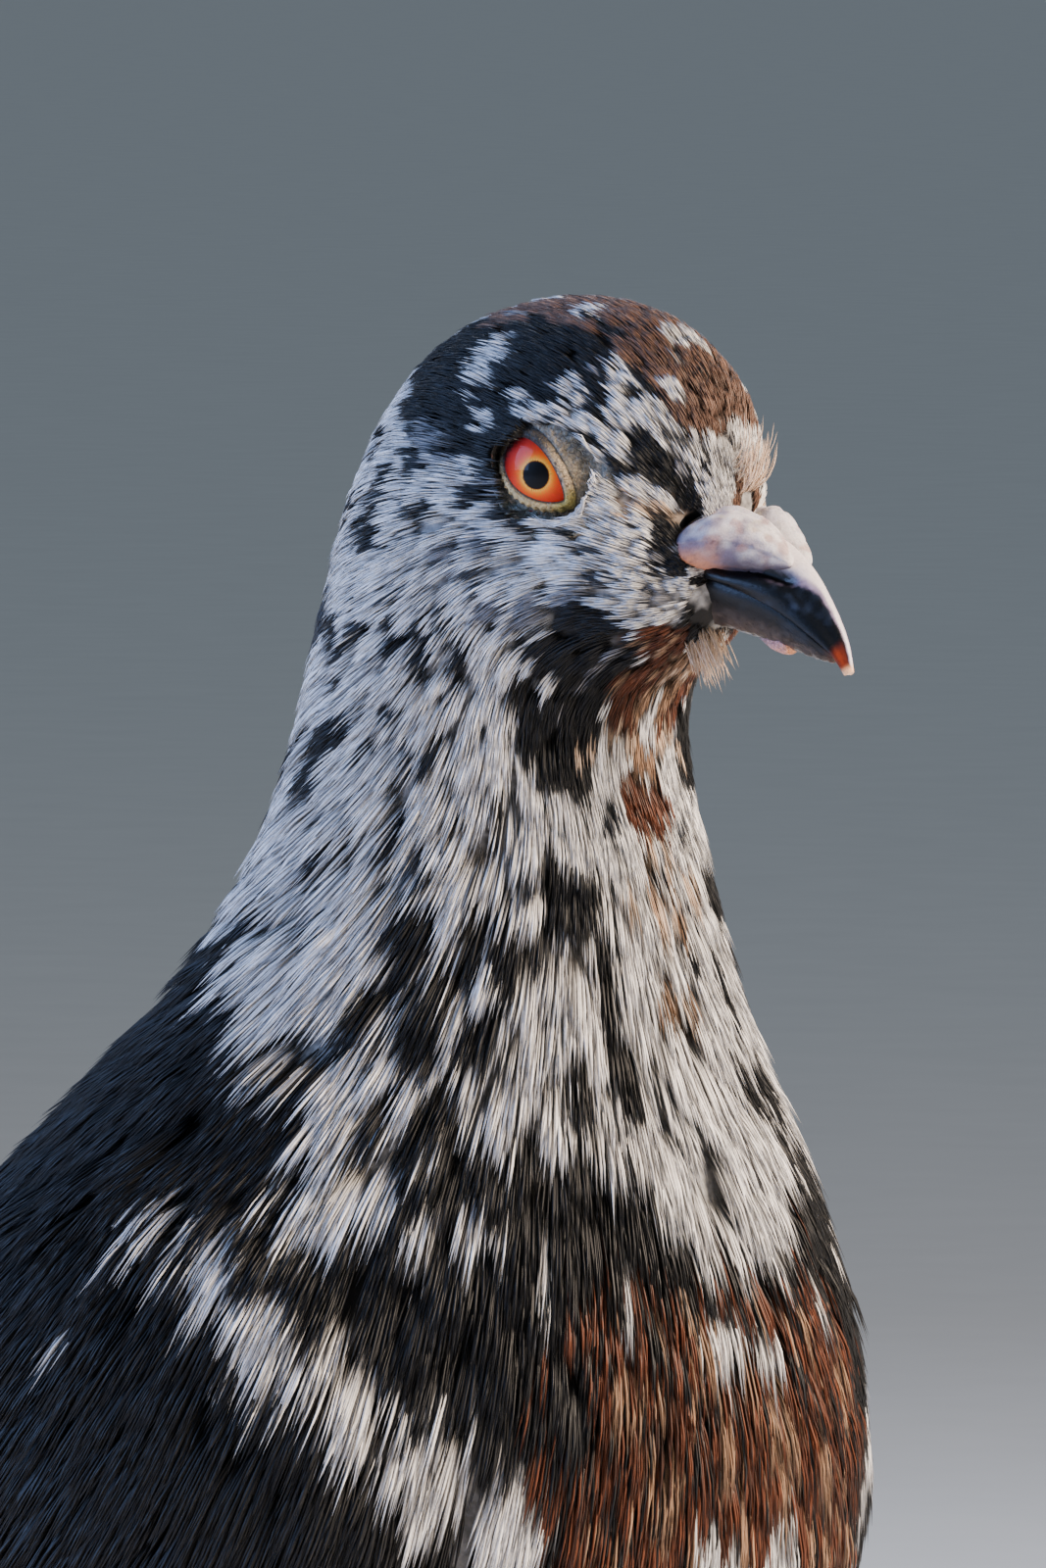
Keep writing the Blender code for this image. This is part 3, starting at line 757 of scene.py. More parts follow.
def scatter(surface: Surface, low: float, high: float, wanted: Rule,
            spacing: Callable[[Array], Array], rng: np.random.Generator) -> tuple[Array, Array]:
    """Spreads feather roots evenly over part of a surface.

    Args:
        surface: where they grow.
        low: the first station.
        high: the last station.
        wanted: tells for stations and angles whether feathers grow there.
        spacing: gives the distance between roots at some stations.
        rng: the source of the small jitter.

    Returns:
        The roots' stations and angles.
    """
    rows = (surface.s >= low) & (surface.s <= high)
    s, t = np.meshgrid(surface.s[rows], surface.t[:-1], indexing="ij")
    along = np.linalg.norm(surface.along[rows][:, :-1], axis=2)
    across = np.linalg.norm(surface.across[rows][:, :-1], axis=2)
    step_s, step_t = surface.s[1] - surface.s[0], surface.t[1] - surface.t[0]
    share = along * across * step_s * step_t * wanted(s, t) / spacing(s) ** 2
    total = share.sum()
    count = int(total)
    down = np.cumsum(share.sum(axis=1)) / total
    place = (np.arange(count) + rng.uniform(0.1, 0.9, count)) / count
    row = np.clip(np.searchsorted(down, place), 0, len(down) - 1)
    before = np.where(row > 0, down[row - 1], 0.0)
    part = (place - before) / np.maximum(down[row] - before, 1e-9)
    round_share = np.cumsum(share, axis=1) / np.maximum(share.sum(axis=1, keepdims=True), 1e-9)
    flat = (round_share + np.arange(len(down))[:, None] * 2).ravel()
    turn = (np.arange(count) * GOLDEN + rng.uniform(0, 0.2, count)) % 1
    found = np.searchsorted(flat, turn + row * 2)
    column = np.clip(found - row * len(t[0]), 0, len(t[0]) - 1)
    roots_s = surface.s[rows][row] + (part - 0.5) * step_s
    roots_t = surface.t[:-1][column] + rng.uniform(-0.5, 0.5, count) * step_t
    return np.clip(roots_s, low, high), roots_t


def unwrap_spots(surface: Surface, s: Array, t: Array) -> Array:
    """Gives each feather's place on the unwrap, by its station and angle."""
    return np.column_stack([0.5 + t / 360 * UNWRAP_SHARE, UNWRAP_MARGIN + UNWRAP_SHARE * s / surface.s[-1]])


@dataclass(frozen=True)
class TuftCut:
    """How one kind of tuft is made up."""

    strands: int
    rings: int
    shortening: float = 0.25
    pinch: float = 0.3
    raise_tips: float = 0.0
    stray: float = 0.12
    # share of strands darkened to paint the shaded gaps between barbs
    shade_strand_share: float = 0.1


def walk(surface: Surface, s: Array, t: Array, length: Array, swing: Rule,
         steps: int = 6) -> tuple[Array, Array, Array, Array]:
    """Follows the lie of the feathers over a surface.

    Args:
        surface: what they lie on.
        s: the roots' stations.
        t: the roots' angles.
        length: how far each one reaches.
        swing: gives the turn of the lie towards larger angles, in radians, at stations and angles.
        steps: how many steps are taken.

    Returns:
        Points and outward directions for each root and step, and the stations and angles passed.
    """
    places, outs, stations, angles = [], [], [], []
    for _ in range(steps + 1):
        point, out, along, across = surface.at(s, t)
        places.append(point)
        outs.append(out)
        stations.append(s)
        angles.append(t)
        turn = swing(s, t)
        s = s + np.cos(turn) * length / steps / np.maximum(np.linalg.norm(along, axis=1), 0.5)
        t = t + np.sin(turn) * length / steps / np.maximum(np.linalg.norm(across, axis=1), 0.02)
    return tuple(np.stack(values, axis=1) for values in (places, outs, stations, angles))


def read_along(values: Array, part: Array) -> Array:
    """Reads values (n, steps, 3) at fractional steps (n, m, k) and gives (n, m, k, 3)."""
    last = values.shape[1] - 1
    at = np.clip(part, 0, 1) * last
    near = np.minimum(at.astype(int), last - 1)
    rest = (at - near)[..., None]
    row = np.arange(len(values))[:, None, None]
    return values[row, near] * (1 - rest) + values[row, near + 1] * rest


def tuft_blades(surface: Surface, s: Array, t: Array, cut: TuftCut, swing: Rule,
                markings: Markings, sizes: dict[str, Array], rng: np.random.Generator,
                clear: Callable[[Array], Array] | None = None) -> Blades:
    """Grows one tuft of strands at each root.

    Args:
        surface: what the tufts lie on.
        s: the roots' stations.
        t: the roots' angles.
        cut: what each tuft is made of.
        swing: the turn of the lie.
        markings: gives the colours.
        sizes: length, depth, strand_half and fan_half for each root.
        rng: the source of small differences.
        clear: moves points out of places kept free, or None.

    Returns:
        The strands, ready for a coat.
    """
    count, strands, rings = len(s), cut.strands, cut.rings
    length = sizes["length"] * rng.uniform(0.85, 1.2, count)
    places, outs, stations, angles = walk(surface, s, t, length, swing)
    fan = np.linspace(-1, 1, strands)[None] + rng.uniform(-0.25, 0.25, (count, strands))
    start = rng.uniform(0, 0.22, (count, strands))
    end = 1 - cut.shortening * np.abs(fan) ** 1.6 - rng.uniform(0, 0.2, (count, strands))
    k = np.linspace(0, 1, rings)
    part = start[..., None] + (end - start)[..., None] * k
    centre = read_along(places, part)
    out = unit(read_along(outs, part))
    rise = 1 - (1 - part) ** 2.2
    level = rng.uniform(-0.22, 0.05, (count, strands, 1)) + rng.normal(0, cut.stray, (count, 1, 1)) * part
    depth = sizes["depth"][:, None, None]
    height = depth * (rise - 1 + level * part) + cut.raise_tips * part**3
    side = frame_along(centre, out, 2)[0]
    spread = sizes["fan_half"][:, None, None] * fan[..., None] * (0.45 + 0.75 * part) * (1 - cut.pinch * part**3)
    bend = rng.normal(0, cut.stray, (count, strands, 1)) * sizes["fan_half"][:, None, None] * part**2
    centre = centre + out * height[..., None] + side * (spread + bend)[..., None]
    if clear is not None:
        centre = clear(centre)
    side, up = rolled(*frame_along(centre, out, 2), rng.uniform(-0.5, 0.5, (count, strands, 1, 1)))
    width = sizes["strand_half"][:, None, None] * rng.uniform(0.75, 1.3, (count, strands, 1))
    taper = np.clip(np.minimum(1, 0.5 + 2.2 * k) * (1 - ease(k, 0.55, 1.0) * 0.75), 0, 1)
    halves = width * taper
    seen = 0.72 + rng.uniform(-0.05, 0.05, (count, strands))
    seen_s = stations[:, :1] + (stations[:, -1] - stations[:, 0])[:, None] * seen
    seen_t = angles[:, :1] + (angles[:, -1] - angles[:, 0])[:, None] * seen
    turned = np.sign(np.sum(side[:, :, 1] * surface.at(seen_s, seen_t)[3], axis=-1))
    wide = np.maximum(np.linalg.norm(surface.at(seen_s, seen_t)[3], axis=-1), 0.05)
    seen_t = seen_t + turned * sizes["fan_half"][:, None] * fan * 0.7 / wide
    tone = markings.colours(seen_s.ravel(), seen_t.ravel(), surface.at(seen_s, seen_t)[0].reshape(-1, 3))
    # Painted shade: strands at a tuft's edges are darker. Each strand darkens towards its root, partly the grey
    # feather base and partly painted shade between strands. A share of strands are darkened as painted shade lines
    # between barbs.
    clump = rng.uniform(0.82, 1.08, (count, 1, 1, 1)) * (1.04 - 0.2 * np.abs(fan) ** 2)[..., None, None]
    shade = clump * rng.uniform(0.82, 1.12, (count, strands, 1, 1)) * (0.5 + 0.5 * ease(part, 0.15, 0.7))[..., None]
    shade = shade * np.where(rng.random((count, strands, 1, 1)) < cut.shade_strand_share, 0.35, 1.0)
    colours = tone.reshape(count, strands, 1, 3) * shade
    spots = unwrap_spots(surface, s, t)
    within = ((np.arange(strands) + 0.5) / strands - 0.5) * PATCH_SIZE
    spots = spots[:, None] + np.stack([within, np.zeros(strands)], axis=1)[None]
    flat = count * strands
    return Blades(centre.reshape(flat, rings, 3), side.reshape(flat, rings, 3), up.reshape(flat, rings, 3),
                  halves.reshape(flat, rings), halves.reshape(flat, rings) * 0.8, STRAND,
                  colours.reshape(flat, rings, 3), spots.reshape(flat, 2), PATCH_SIZE / 2 / strands)


# ---------------------------------------------------------------- materials


def put(tree: NodeTree, node: bpy.types.Node, inputs: dict[str | int, object]) -> None:
    """Links output sockets to some of a node's inputs and sets the others to values."""
    for key, value in inputs.items():
        if isinstance(value, bpy.types.NodeSocket):
            tree.links.new(value, node.inputs[key])
        else:
            node.inputs[key].default_value = value


def add(tree: NodeTree, kind: str, inputs: dict[str | int, object] | None = None,
        **settings: object) -> bpy.types.Node:
    """Adds one shader node.

    Args:
        tree: the material's node tree.
        kind: the node's type name, after ShaderNode.
        inputs: values or output sockets for its inputs, by name or number.
        settings: the node's own settings.

    Returns:
        The new node.
    """
    made = tree.nodes.new(f"ShaderNode{kind}")
    for name, value in settings.items():
        setattr(made, name, value)
    put(tree, made, inputs or {})
    return made


def new_material(name: str) -> tuple[Material, NodeTree, bpy.types.Node]:
    """Makes a material with only its Principled shader and output."""
    material = bpy.data.materials.new(name)
    material.use_nodes = True
    shader = material.node_tree.nodes["Principled BSDF"]
    return material, material.node_tree, shader


def rgba(code: str) -> tuple[float, float, float, float]:
    """Gives an sRGB hex colour as a linear socket value."""
    return (*linear(code), 1.0)


def ramp(tree: NodeTree, factor: bpy.types.NodeSocket,
         stops: Sequence[tuple[float, str]]) -> bpy.types.NodeSocket:
    """Adds a colour ramp with these stops, each a place and a hex colour, and gives its colour."""
    made = add(tree, "ValToRGB", {"Fac": factor})
    elements = made.color_ramp.elements
    while len(elements) < len(stops):
        elements.new(0.5)
    for element, (place, code) in zip(elements, stops):
        element.position = place
        element.color = rgba(code)
    return made.outputs["Color"]


@dataclass(frozen=True)
class ContourFeather:
    """Feather keratin in free barbs, preened and dry: silky along each strand, with a soft fuzz at grazing light."""

    roughness: float = 0.48
    sheen: float = 0.03
    gloss: float = 0.28
    grain_mm: float = 0.35

    def build(self) -> Material:
        """Makes the material, which reads each strand's colour."""
        material, tree, shader = new_material("contour_feather_keratin")
        colour = add(tree, "Attribute", attribute_name="plumage").outputs["Color"]
        place = add(tree, "TexCoord").outputs["Object"]
        noise = add(tree, "TexNoise", {"Vector": place, "Scale": 1 / (self.grain_mm * MM), "Detail": 3.0})
        change = add(tree, "MapRange", {"Value": noise.outputs["Fac"], "From Min": 0.3, "From Max": 0.7,
                                                  "To Min": 0.86, "To Max": 1.12})
        mixed = add(tree, "VectorMath", {0: colour, "Scale": change.outputs["Result"]}, operation="SCALE")
        rough = add(tree, "MapRange", {"Value": noise.outputs["Fac"], "To Min": self.roughness - 0.1,
                                                 "To Max": self.roughness + 0.16})
        put(tree, shader, {"Base Color": mixed.outputs["Vector"], "Roughness": rough.outputs["Result"],
                           "Sheen Weight": self.sheen, "Sheen Roughness": 0.4, "IOR": KERATIN_IOR,
                           "Specular IOR Level": self.gloss})
        return material


@dataclass(frozen=True)
class VaneFeather:
    """Feather keratin zipped in a vane: fine slanted barbs either side of a polished shaft."""

    barb_mm: float = 0.32
    slant: float = 0.9
    roughness: float = 0.5

    def build(self) -> Material:
        """Makes the material, which reads each feather's colour and its own barb coordinates."""
        material, tree, shader = new_material("vane_feather_keratin")
        colour = add(tree, "Attribute", attribute_name="plumage").outputs["Color"]
        barb = add(tree, "Attribute", attribute_name="barb").outputs["Vector"]
        axes = add(tree, "SeparateXYZ", {0: barb}).outputs
        away = add(tree, "Math", {0: axes["X"]}, operation="ABSOLUTE").outputs[0]
        slanted = add(tree, "Math", {0: away, 1: -self.slant, 2: axes["Y"]}, operation="MULTIPLY_ADD")
        place = add(tree, "TexCoord").outputs["Object"]
        drift = add(tree, "TexNoise", {"Vector": place, "Scale": 1 / (3 * MM), "Detail": 2.0})
        along = add(tree, "Math", {0: drift.outputs["Fac"], 1: 1.4, 2: slanted.outputs[0]},
                    operation="MULTIPLY_ADD")
        phase = add(tree, "Math", {0: along.outputs[0], 1: math.tau / self.barb_mm}, operation="MULTIPLY")
        wave = add(tree, "Math", {0: phase.outputs[0]}, operation="SINE").outputs[0]
        shaft = add(tree, "MapRange", {"Value": away, "From Min": 0.12, "From Max": 0.4,
                                                 "To Min": 1.0, "To Max": 0.0}).outputs["Result"]
        patchy = add(tree, "TexNoise", {"Vector": place, "Scale": 1 / (1.1 * MM), "Detail": 4.0})
        lines = add(tree, "Math", {0: wave, 1: 0.1, 2: 0.92}, operation="MULTIPLY_ADD").outputs[0]
        blotch = add(tree, "MapRange", {"Value": patchy.outputs["Fac"], "From Min": 0.3,
                                                  "From Max": 0.7, "To Min": 0.8, "To Max": 1.15}).outputs["Result"]
        change = add(tree, "Math", {0: lines, 1: blotch}, operation="MULTIPLY").outputs[0]
        mixed = add(tree, "VectorMath", {0: colour, "Scale": change}, operation="SCALE")
        rough = add(tree, "MapRange", {"Value": shaft, "To Min": self.roughness, "To Max": 0.28})
        bump = add(tree, "Bump", {"Height": wave, "Strength": 0.22, "Distance": 0.04 * MM})
        put(tree, shader, {"Base Color": mixed.outputs["Vector"], "Roughness": rough.outputs["Result"],
                           "Normal": bump.outputs["Normal"], "Sheen Weight": 0.02, "Sheen Roughness": 0.45,
                           "IOR": KERATIN_IOR, "Specular IOR Level": 0.2})
        return material


@dataclass(frozen=True)
class DownySkin:
    """Thin skin under down: matt, in the colours of the feathers over it, with a fine noisy bump."""

    def build(self) -> Material:
        """Makes the material, which reads the skin's markings."""
        material, tree, shader = new_material("downy_skin")
        colour = add(tree, "Attribute", attribute_name="plumage").outputs["Color"]
        place = add(tree, "TexCoord").outputs["Object"]
        noise = add(tree, "TexNoise", {"Vector": place, "Scale": 1 / (0.7 * MM), "Detail": 4.0})
        change = add(tree, "MapRange", {"Value": noise.outputs["Fac"], "From Min": 0.3, "From Max": 0.7,
                                                  "To Min": 0.18, "To Max": 0.45})
        mixed = add(tree, "VectorMath", {0: colour, "Scale": change.outputs["Result"]}, operation="SCALE")
        bump = add(tree, "Bump", {"Height": noise.outputs["Fac"], "Strength": 0.5, "Distance": 0.2 * MM})
        put(tree, shader, {"Base Color": mixed.outputs["Vector"], "Normal": bump.outputs["Normal"],
                           "Roughness": 0.85})
        return material


@dataclass(frozen=True)
class PaintedFinish:
    """A finish whose colours lie on the mesh, with its own grain: bare skin, horn, cere, scutes or the eye."""

    name: str
    roughness: float
    ior: float
    grain_mm: float
    bump_mm: float
    contrast: float = 0.2
    coat: float = 0.0
    subsurface: float = 0.0
    cells: bool = False

    def build(self) -> Material:
        """Makes the material, which reads the mesh's own colours."""
        material, tree, shader = new_material(self.name)
        colour = add(tree, "Attribute", attribute_name="tint").outputs["Color"]
        place = add(tree, "TexCoord").outputs["Object"]
        fine = add(tree, "TexNoise", {"Vector": place, "Scale": 1 / (self.grain_mm * MM), "Detail": 5.0,
                                                "Roughness": 0.6}).outputs["Fac"]
        height = fine
        if self.cells:
            cell = add(tree, "TexVoronoi", {"Vector": place, "Scale": 1 / (self.grain_mm * 2 * MM)},
                       feature="DISTANCE_TO_EDGE")
            edge = add(tree, "MapRange", {"Value": cell.outputs["Distance"], "From Max": 0.12})
            height = add(tree, "Math", {0: edge.outputs["Result"], 1: fine}, operation="ADD").outputs[0]
        change = add(tree, "MapRange", {"Value": fine, "From Min": 0.28, "From Max": 0.72,
                                                  "To Min": 1 - self.contrast, "To Max": 1 + self.contrast})
        mixed = add(tree, "VectorMath", {0: colour, "Scale": change.outputs["Result"]}, operation="SCALE")
        rough = add(tree, "MapRange", {"Value": fine, "To Min": max(self.roughness - 0.08, 0.02),
                                                 "To Max": self.roughness + 0.08})
        bump = add(tree, "Bump", {"Height": height, "Strength": 0.6, "Distance": self.bump_mm * MM})
        put(tree, shader, {"Base Color": mixed.outputs["Vector"], "Roughness": rough.outputs["Result"],
                           "Normal": bump.outputs["Normal"], "IOR": self.ior, "Coat Weight": self.coat,
                           "Coat Roughness": 0.03, "Subsurface Weight": self.subsurface,
                           "Subsurface Radius": (1.0, 0.35, 0.2), "Subsurface Scale": 0.6 * MM})
        return material


# ---------------------------------------------------------------- the skin and its coat


def lie(s: Array, t: Array) -> Array:
    """Gives how far the feathers' lie turns from the stations' own run, in radians towards larger angles."""
    away = np.abs(t)
    turn = np.interp(away, (0, 20, 40, 60, 100, 130, 180), (0, 22, 42, 40, 20, 9, 0))
    share = np.interp(s, (0, 2.6, 4.2, 8, 10.2, 11.6), (0, 0.15, 0.9, 1, 0.4, 0))
    return -np.sign(t) * np.radians(turn * share)


def wing_edges(s: Array) -> tuple[Array, Array]:
    """Gives the angles of the folded wing's upper and lower edges at some stations."""
    stations = (11, 12, 13, 14, 15, 16, 17, 18, 19, 20, 21, 22.4)
    upper = (70, 47, 24, 15, 11, 10, 10, 9, 7, 4, 3, 3)
    lower = (98, 127, 132, 124, 126, 127, 112, 84, 48, 20, 8, 5)
    return np.interp(s, stations, upper), np.interp(s, stations, lower)


@dataclass
class EyePlace:
    """One eye's centre and its three directions: out of the head, along the opening and across it."""

    side: int
    centre: Array
    forward_degrees: float = 16.0
    down_degrees: float = 4.0
    tilt_degrees: float = 42.0

    def axes(self) -> tuple[Array, Array, Array]:
        """Gives unit vectors along the opening (to the front corner), across it (upwards) and out of the head."""
        forward, down = math.radians(self.forward_degrees), math.radians(self.down_degrees)
        out = unit(np.array([math.sin(forward), self.side * math.cos(forward), -math.sin(down)]))
        ahead = unit(np.cross(np.array([0, 0, 1.0]), out) * self.side)
        ahead = -ahead if ahead[0] < 0 else ahead
        up = unit(np.cross(out, ahead))
        up = -up if up[2] < 0 else up
        tilt = math.radians(self.tilt_degrees)
        long_axis = ahead * math.cos(tilt) - up * math.sin(tilt)
        short_axis = up * math.cos(tilt) + ahead * math.sin(tilt)
        return long_axis, short_axis, out


@dataclass
class Bird:
    """What every sub-assembly shares: the solids, the surfaces read from them, the eyes' places and the markings."""

    nodes: dict[str, Object]
    shift: float = 0.0
    surface: Surface | None = None
    eyes: tuple[EyePlace, ...] = ()
    markings: Markings = field(default_factory=Markings)
    bill_tree: BVHTree | None = None
    ring_radius: float = 4.3
    ring_ahead: float = 1.35

    def read(self) -> None:
        """Samples the body's outer surface and finds the eyes."""
        self.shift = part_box("bill_upper")[1][0] / MM - BILL_TIP
        hull = build_hull("hull", [self.nodes[name] for name in FLESH + FEATHER_ONLY + FACE_FILL])
        self.surface = Surface(STATIONS, tree_of(hull), self.shift, trim=hollow_lores)
        bpy.data.objects.remove(hull)
        bill = joined_copy("bill_solids", [self.nodes[name] for name in BILL_AND_CERE])
        self.bill_tree = tree_of(bill)
        bpy.data.objects.remove(bill)
        self.eyes = tuple(self._eye(f"eye_{word}", side) for side, word in SIDES)

    @staticmethod
    def _eye(name: str, side: int) -> EyePlace:
        """Reads where an eyeball is."""
        low, high = (np.array(corner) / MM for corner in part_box(name))
        return EyePlace(side, (low + high) / 2)

    def clear_face(self, points: Array) -> Array:
        """Moves points away from the bare rings round the eyes."""
        moved = points.copy()
        for eye in self.eyes:
            _, _, out = eye.axes()
            middle = eye.centre + np.array([self.ring_ahead, 0, 0])
            away = moved - middle
            level = away @ out
            flat = away - level[..., None] * out
            distance = np.linalg.norm(flat, axis=-1, keepdims=True)
            ragged = mottle(points.reshape(-1, 3), 0.55, 81).reshape(level.shape)[..., None]
            push = np.clip(self.ring_radius - 0.75 + 1.1 * ragged - distance, 0, None) * (level > 0)[..., None]
            moved = moved + unit(flat) * push
        return moved

    def near_bill(self, points: Array, gap: float) -> Array:
        """Tells which points lie less than a gap outside the bill and the cere; the gap may be negative."""
        near = np.zeros(len(points), dtype=bool)
        for index, point in enumerate(points):
            found, normal, _, distance = self.bill_tree.find_nearest(Vector(point * MM), 0.012)
            if found is not None:
                outside = (Vector(point * MM) - found).dot(normal) > 0
                near[index] = (distance if outside else -distance) < gap * MM
        return near

    def near_eye(self, points: Array, radius: float) -> Array:
        """Tells which points lie within a radius of an eye's axis, on its side of the head."""
        near = np.zeros(points.shape[:-1], dtype=bool)
        for eye in self.eyes:
            _, _, out = eye.axes()
            away = points - eye.centre - np.array([self.ring_ahead, 0, 0])
            level = away @ out
            near |= (level > 0) & (np.linalg.norm(away - level[..., None] * out, axis=-1) < radius)
        return near


@dataclass(frozen=True)
class Region:
    """A length of the body whose tufts are cut alike and make one piece on each side."""

    name: str
    first: float
    last: float
    cut: TuftCut
    crowding: float = 1.0


REGIONS = (
    Region("face", 0.02, 2.6, TuftCut(8, 4, stray=0.08), 0.95),
    Region("head", 2.6, 6.2, TuftCut(9, 4, stray=0.08), 0.95),
    Region("neck", 6.2, 9.6, TuftCut(14, 4, pinch=0.1, shade_strand_share=0.22), 0.94),
    Region("bib", 9.6, 12.0, TuftCut(15, 4, pinch=0.1, shade_strand_share=0.22), 0.97),
    Region("breast", 12.0, 14.2, TuftCut(15, 4), 0.92),
    Region("body", 14.2, 19.6, TuftCut(12, 4), 0.95),
)


@dataclass
class Plumage:
    """The contour feathers of head, neck, breast, back and belly."""

    bird: Bird
    finish: Material
    wing_margins: tuple[float, float] = (3.0, 2.0)
    under_wing_from: float = 12.7
    bill_stations: float = 2.2
    bill_gap: float = -0.9

    def _grows(self, side: int, last: float) -> Rule:
        """Makes the rule for where contour feathers grow on one side of the body."""

        def rule(s: Array, t: Array) -> Array:
            """Tells which stations and angles may carry a root."""
            upper, lower = wing_edges(s)
            away = np.abs(t)
            above, below = self.wing_margins
            under_wing = (s > self.under_wing_from) & (away > upper + above) & (away < lower - below)
            places = self.bird.surface.at(s, t)[0]
            bare = self.bird.near_eye(places, self.bird.ring_radius)
            bill = s < self.bill_stations
            bill[bill] = self.bird.near_bill(places[bill], self.bill_gap)
            return (np.sign(t + 1e-6) == side) & ~under_wing & ~bare & ~bill & (s <= last)

        return rule

    def build(self) -> None:
        """Grows every region on both sides."""
        for number, region in enumerate(REGIONS):
            for side, word in SIDES:
                rng = np.random.default_rng(100 + number * 2 + (side > 0))
                coat = Coat(f"plumage_{region.name}_{word}", self.finish)
                s, t = scatter(self.bird.surface, region.first, region.last, self._grows(side, region.last),
                               lambda at: growth_at(at, "spacing") * region.crowding, rng)
                sizes = {what: growth_at(s, what) for what in ("length", "depth", "strand_half", "fan_half")}
                clear = self.bird.clear_face if region.first < 5 else None
                coat.add(tuft_blades(self.bird.surface, s, t, region.cut, lie, self.bird.markings, sizes, rng,
                                     clear))
                coat.finish()


@dataclass
class Skin:
    """The one skin of the bird, inside its solids by the depth of the coat."""

    bird: Bird
    finish: Material
    grain: float = 1.1
    coat_share: float = 0.92
    wing_sink: float = 1.8
    thigh_top: float = 84.0
    thigh_inside: float = -1.5
    socket_floor: float = 1.5

    def build(self) -> None:
        """Wraps the flesh in one closed skin, sinks it under the coat and marks it."""
        flesh = FLESH + FACE_FILL + THIGHS
        skin = build_hull("skin", [self.bird.nodes[name] for name in flesh], self.grain)
        points = vertices_of(skin)
        surface = self.bird.surface
        grid = surface.points.reshape(-1, 3)
        finder = KDTree(len(grid))
        for index, point in enumerate(grid):
            finder.insert(point, index)
        finder.balance()
        nearest = np.array([finder.find(point)[1] for point in points])
        row, column = np.divmod(nearest, surface.points.shape[1])
        s, t = surface.s[row], surface.t[column]
        outward = surface.outward.reshape(-1, 3)[nearest]
        inside = np.sum((grid[nearest] - points) * outward, axis=1)
        upper, lower = wing_edges(s)
        away = np.abs(t)
        rear = 9 * ease(s, 15.5, 17.0)
        under_wing = (ease(away, upper + 2, upper + 12) * (1 - ease(away, lower - 12 + rear, lower - 2 + rear))
                      * ease(s, 12.7, 13.7) * (1 - ease(s, 19.5, 21)))
        depth = growth_at(s, "depth") * self.coat_share + self.wing_sink * under_wing
        normals = normals_of(skin)
        thigh = (points[:, 2] < self.thigh_top) & (inside < self.thigh_inside)
        sink = np.where(thigh, 0.6 + 1.2 * ease(points[:, 2], 32, 48), np.clip(depth - inside, 0, None))
        moved = points - np.where(thigh[:, None], normals, outward) * sink[:, None]
        move_vertices(skin, self._sockets(moved))
        colours = self.bird.markings.colours(s, t, grid[nearest])
        dark = (thigh | (under_wing > 0.3))[:, None]
        colours = np.where(dark, linear(Tone.BLACK.value), colours)
        give_colour(skin, "plumage", colours)
        dress(skin, self.finish)
        settle(skin, FLESH + FEATHER_ONLY + THIGHS)

    def _sockets(self, moved: Array) -> Array:
        """Sinks the skin behind each eyeball, so that none of it stands in front."""
        for eye in self.bird.eyes:
            _, _, out = eye.axes()
            away = moved - eye.centre
            level = away @ out
            flat = np.linalg.norm(away - level[:, None] * out, axis=1)
            floor = self.socket_floor + 1.2 * ease(flat, 3.0, 5.6)
            drop = np.clip(level - floor, 0, None) * (1 - ease(flat, 4.6, 6.4)) * (level > 0)
            moved = moved - out * drop[:, None]
        return moved


# ---------------------------------------------------------------- flight feathers


@dataclass(frozen=True)
class VaneRow:
    """One row of vanes across the folded wing: where their roots stand and how large each one is."""

    station: float
    high: float
    low: float
    count: int
    length: float
    half: float
    lift: float = 0.0


WING_ROWS = (
    VaneRow(15.9, 0.16, 0.96, 8, 74.0, 6.2, lift=-0.8),
    VaneRow(15.0, 0.10, 0.97, 12, 44.0, 6.2, lift=-0.5),
    VaneRow(14.1, 0.05, 0.98, 13, 29.0, 6.0, lift=-0.3),
    VaneRow(13.4, 0.04, 0.98, 13, 22.0, 5.8),
    VaneRow(12.9, 0.04, 0.98, 13, 18.0, 5.2),
    VaneRow(12.5, 0.05, 0.97, 13, 16.0, 4.6, lift=-0.2),
    VaneRow(14.7, 0.0, 0.2, 3, 56.0, 8.5, lift=0.2),
    VaneRow(14.0, 0.0, 0.24, 4, 40.0, 8.0, lift=0.4),
    VaneRow(13.3, 0.0, 0.26, 4, 28.0, 7.0, lift=0.6),
    VaneRow(12.6, 0.0, 0.3, 4, 22.0, 6.4, lift=0.7),
    VaneRow(12.1, 0.0, 0.34, 4, 18.0, 5.6, lift=0.2),
)


def vane_outline(k: Array, tip_from: float = 0.6) -> Array:
    """Gives a vane's width along its length, from 0 at the root to a rounded tip."""
    root = np.clip(k / 0.16, 0, 1) ** 0.6
    tip = np.sqrt(np.clip(1 - np.clip((k - tip_from) / (1 - tip_from), 0, 1) ** 2.4, 0, 1))
    return root * tip


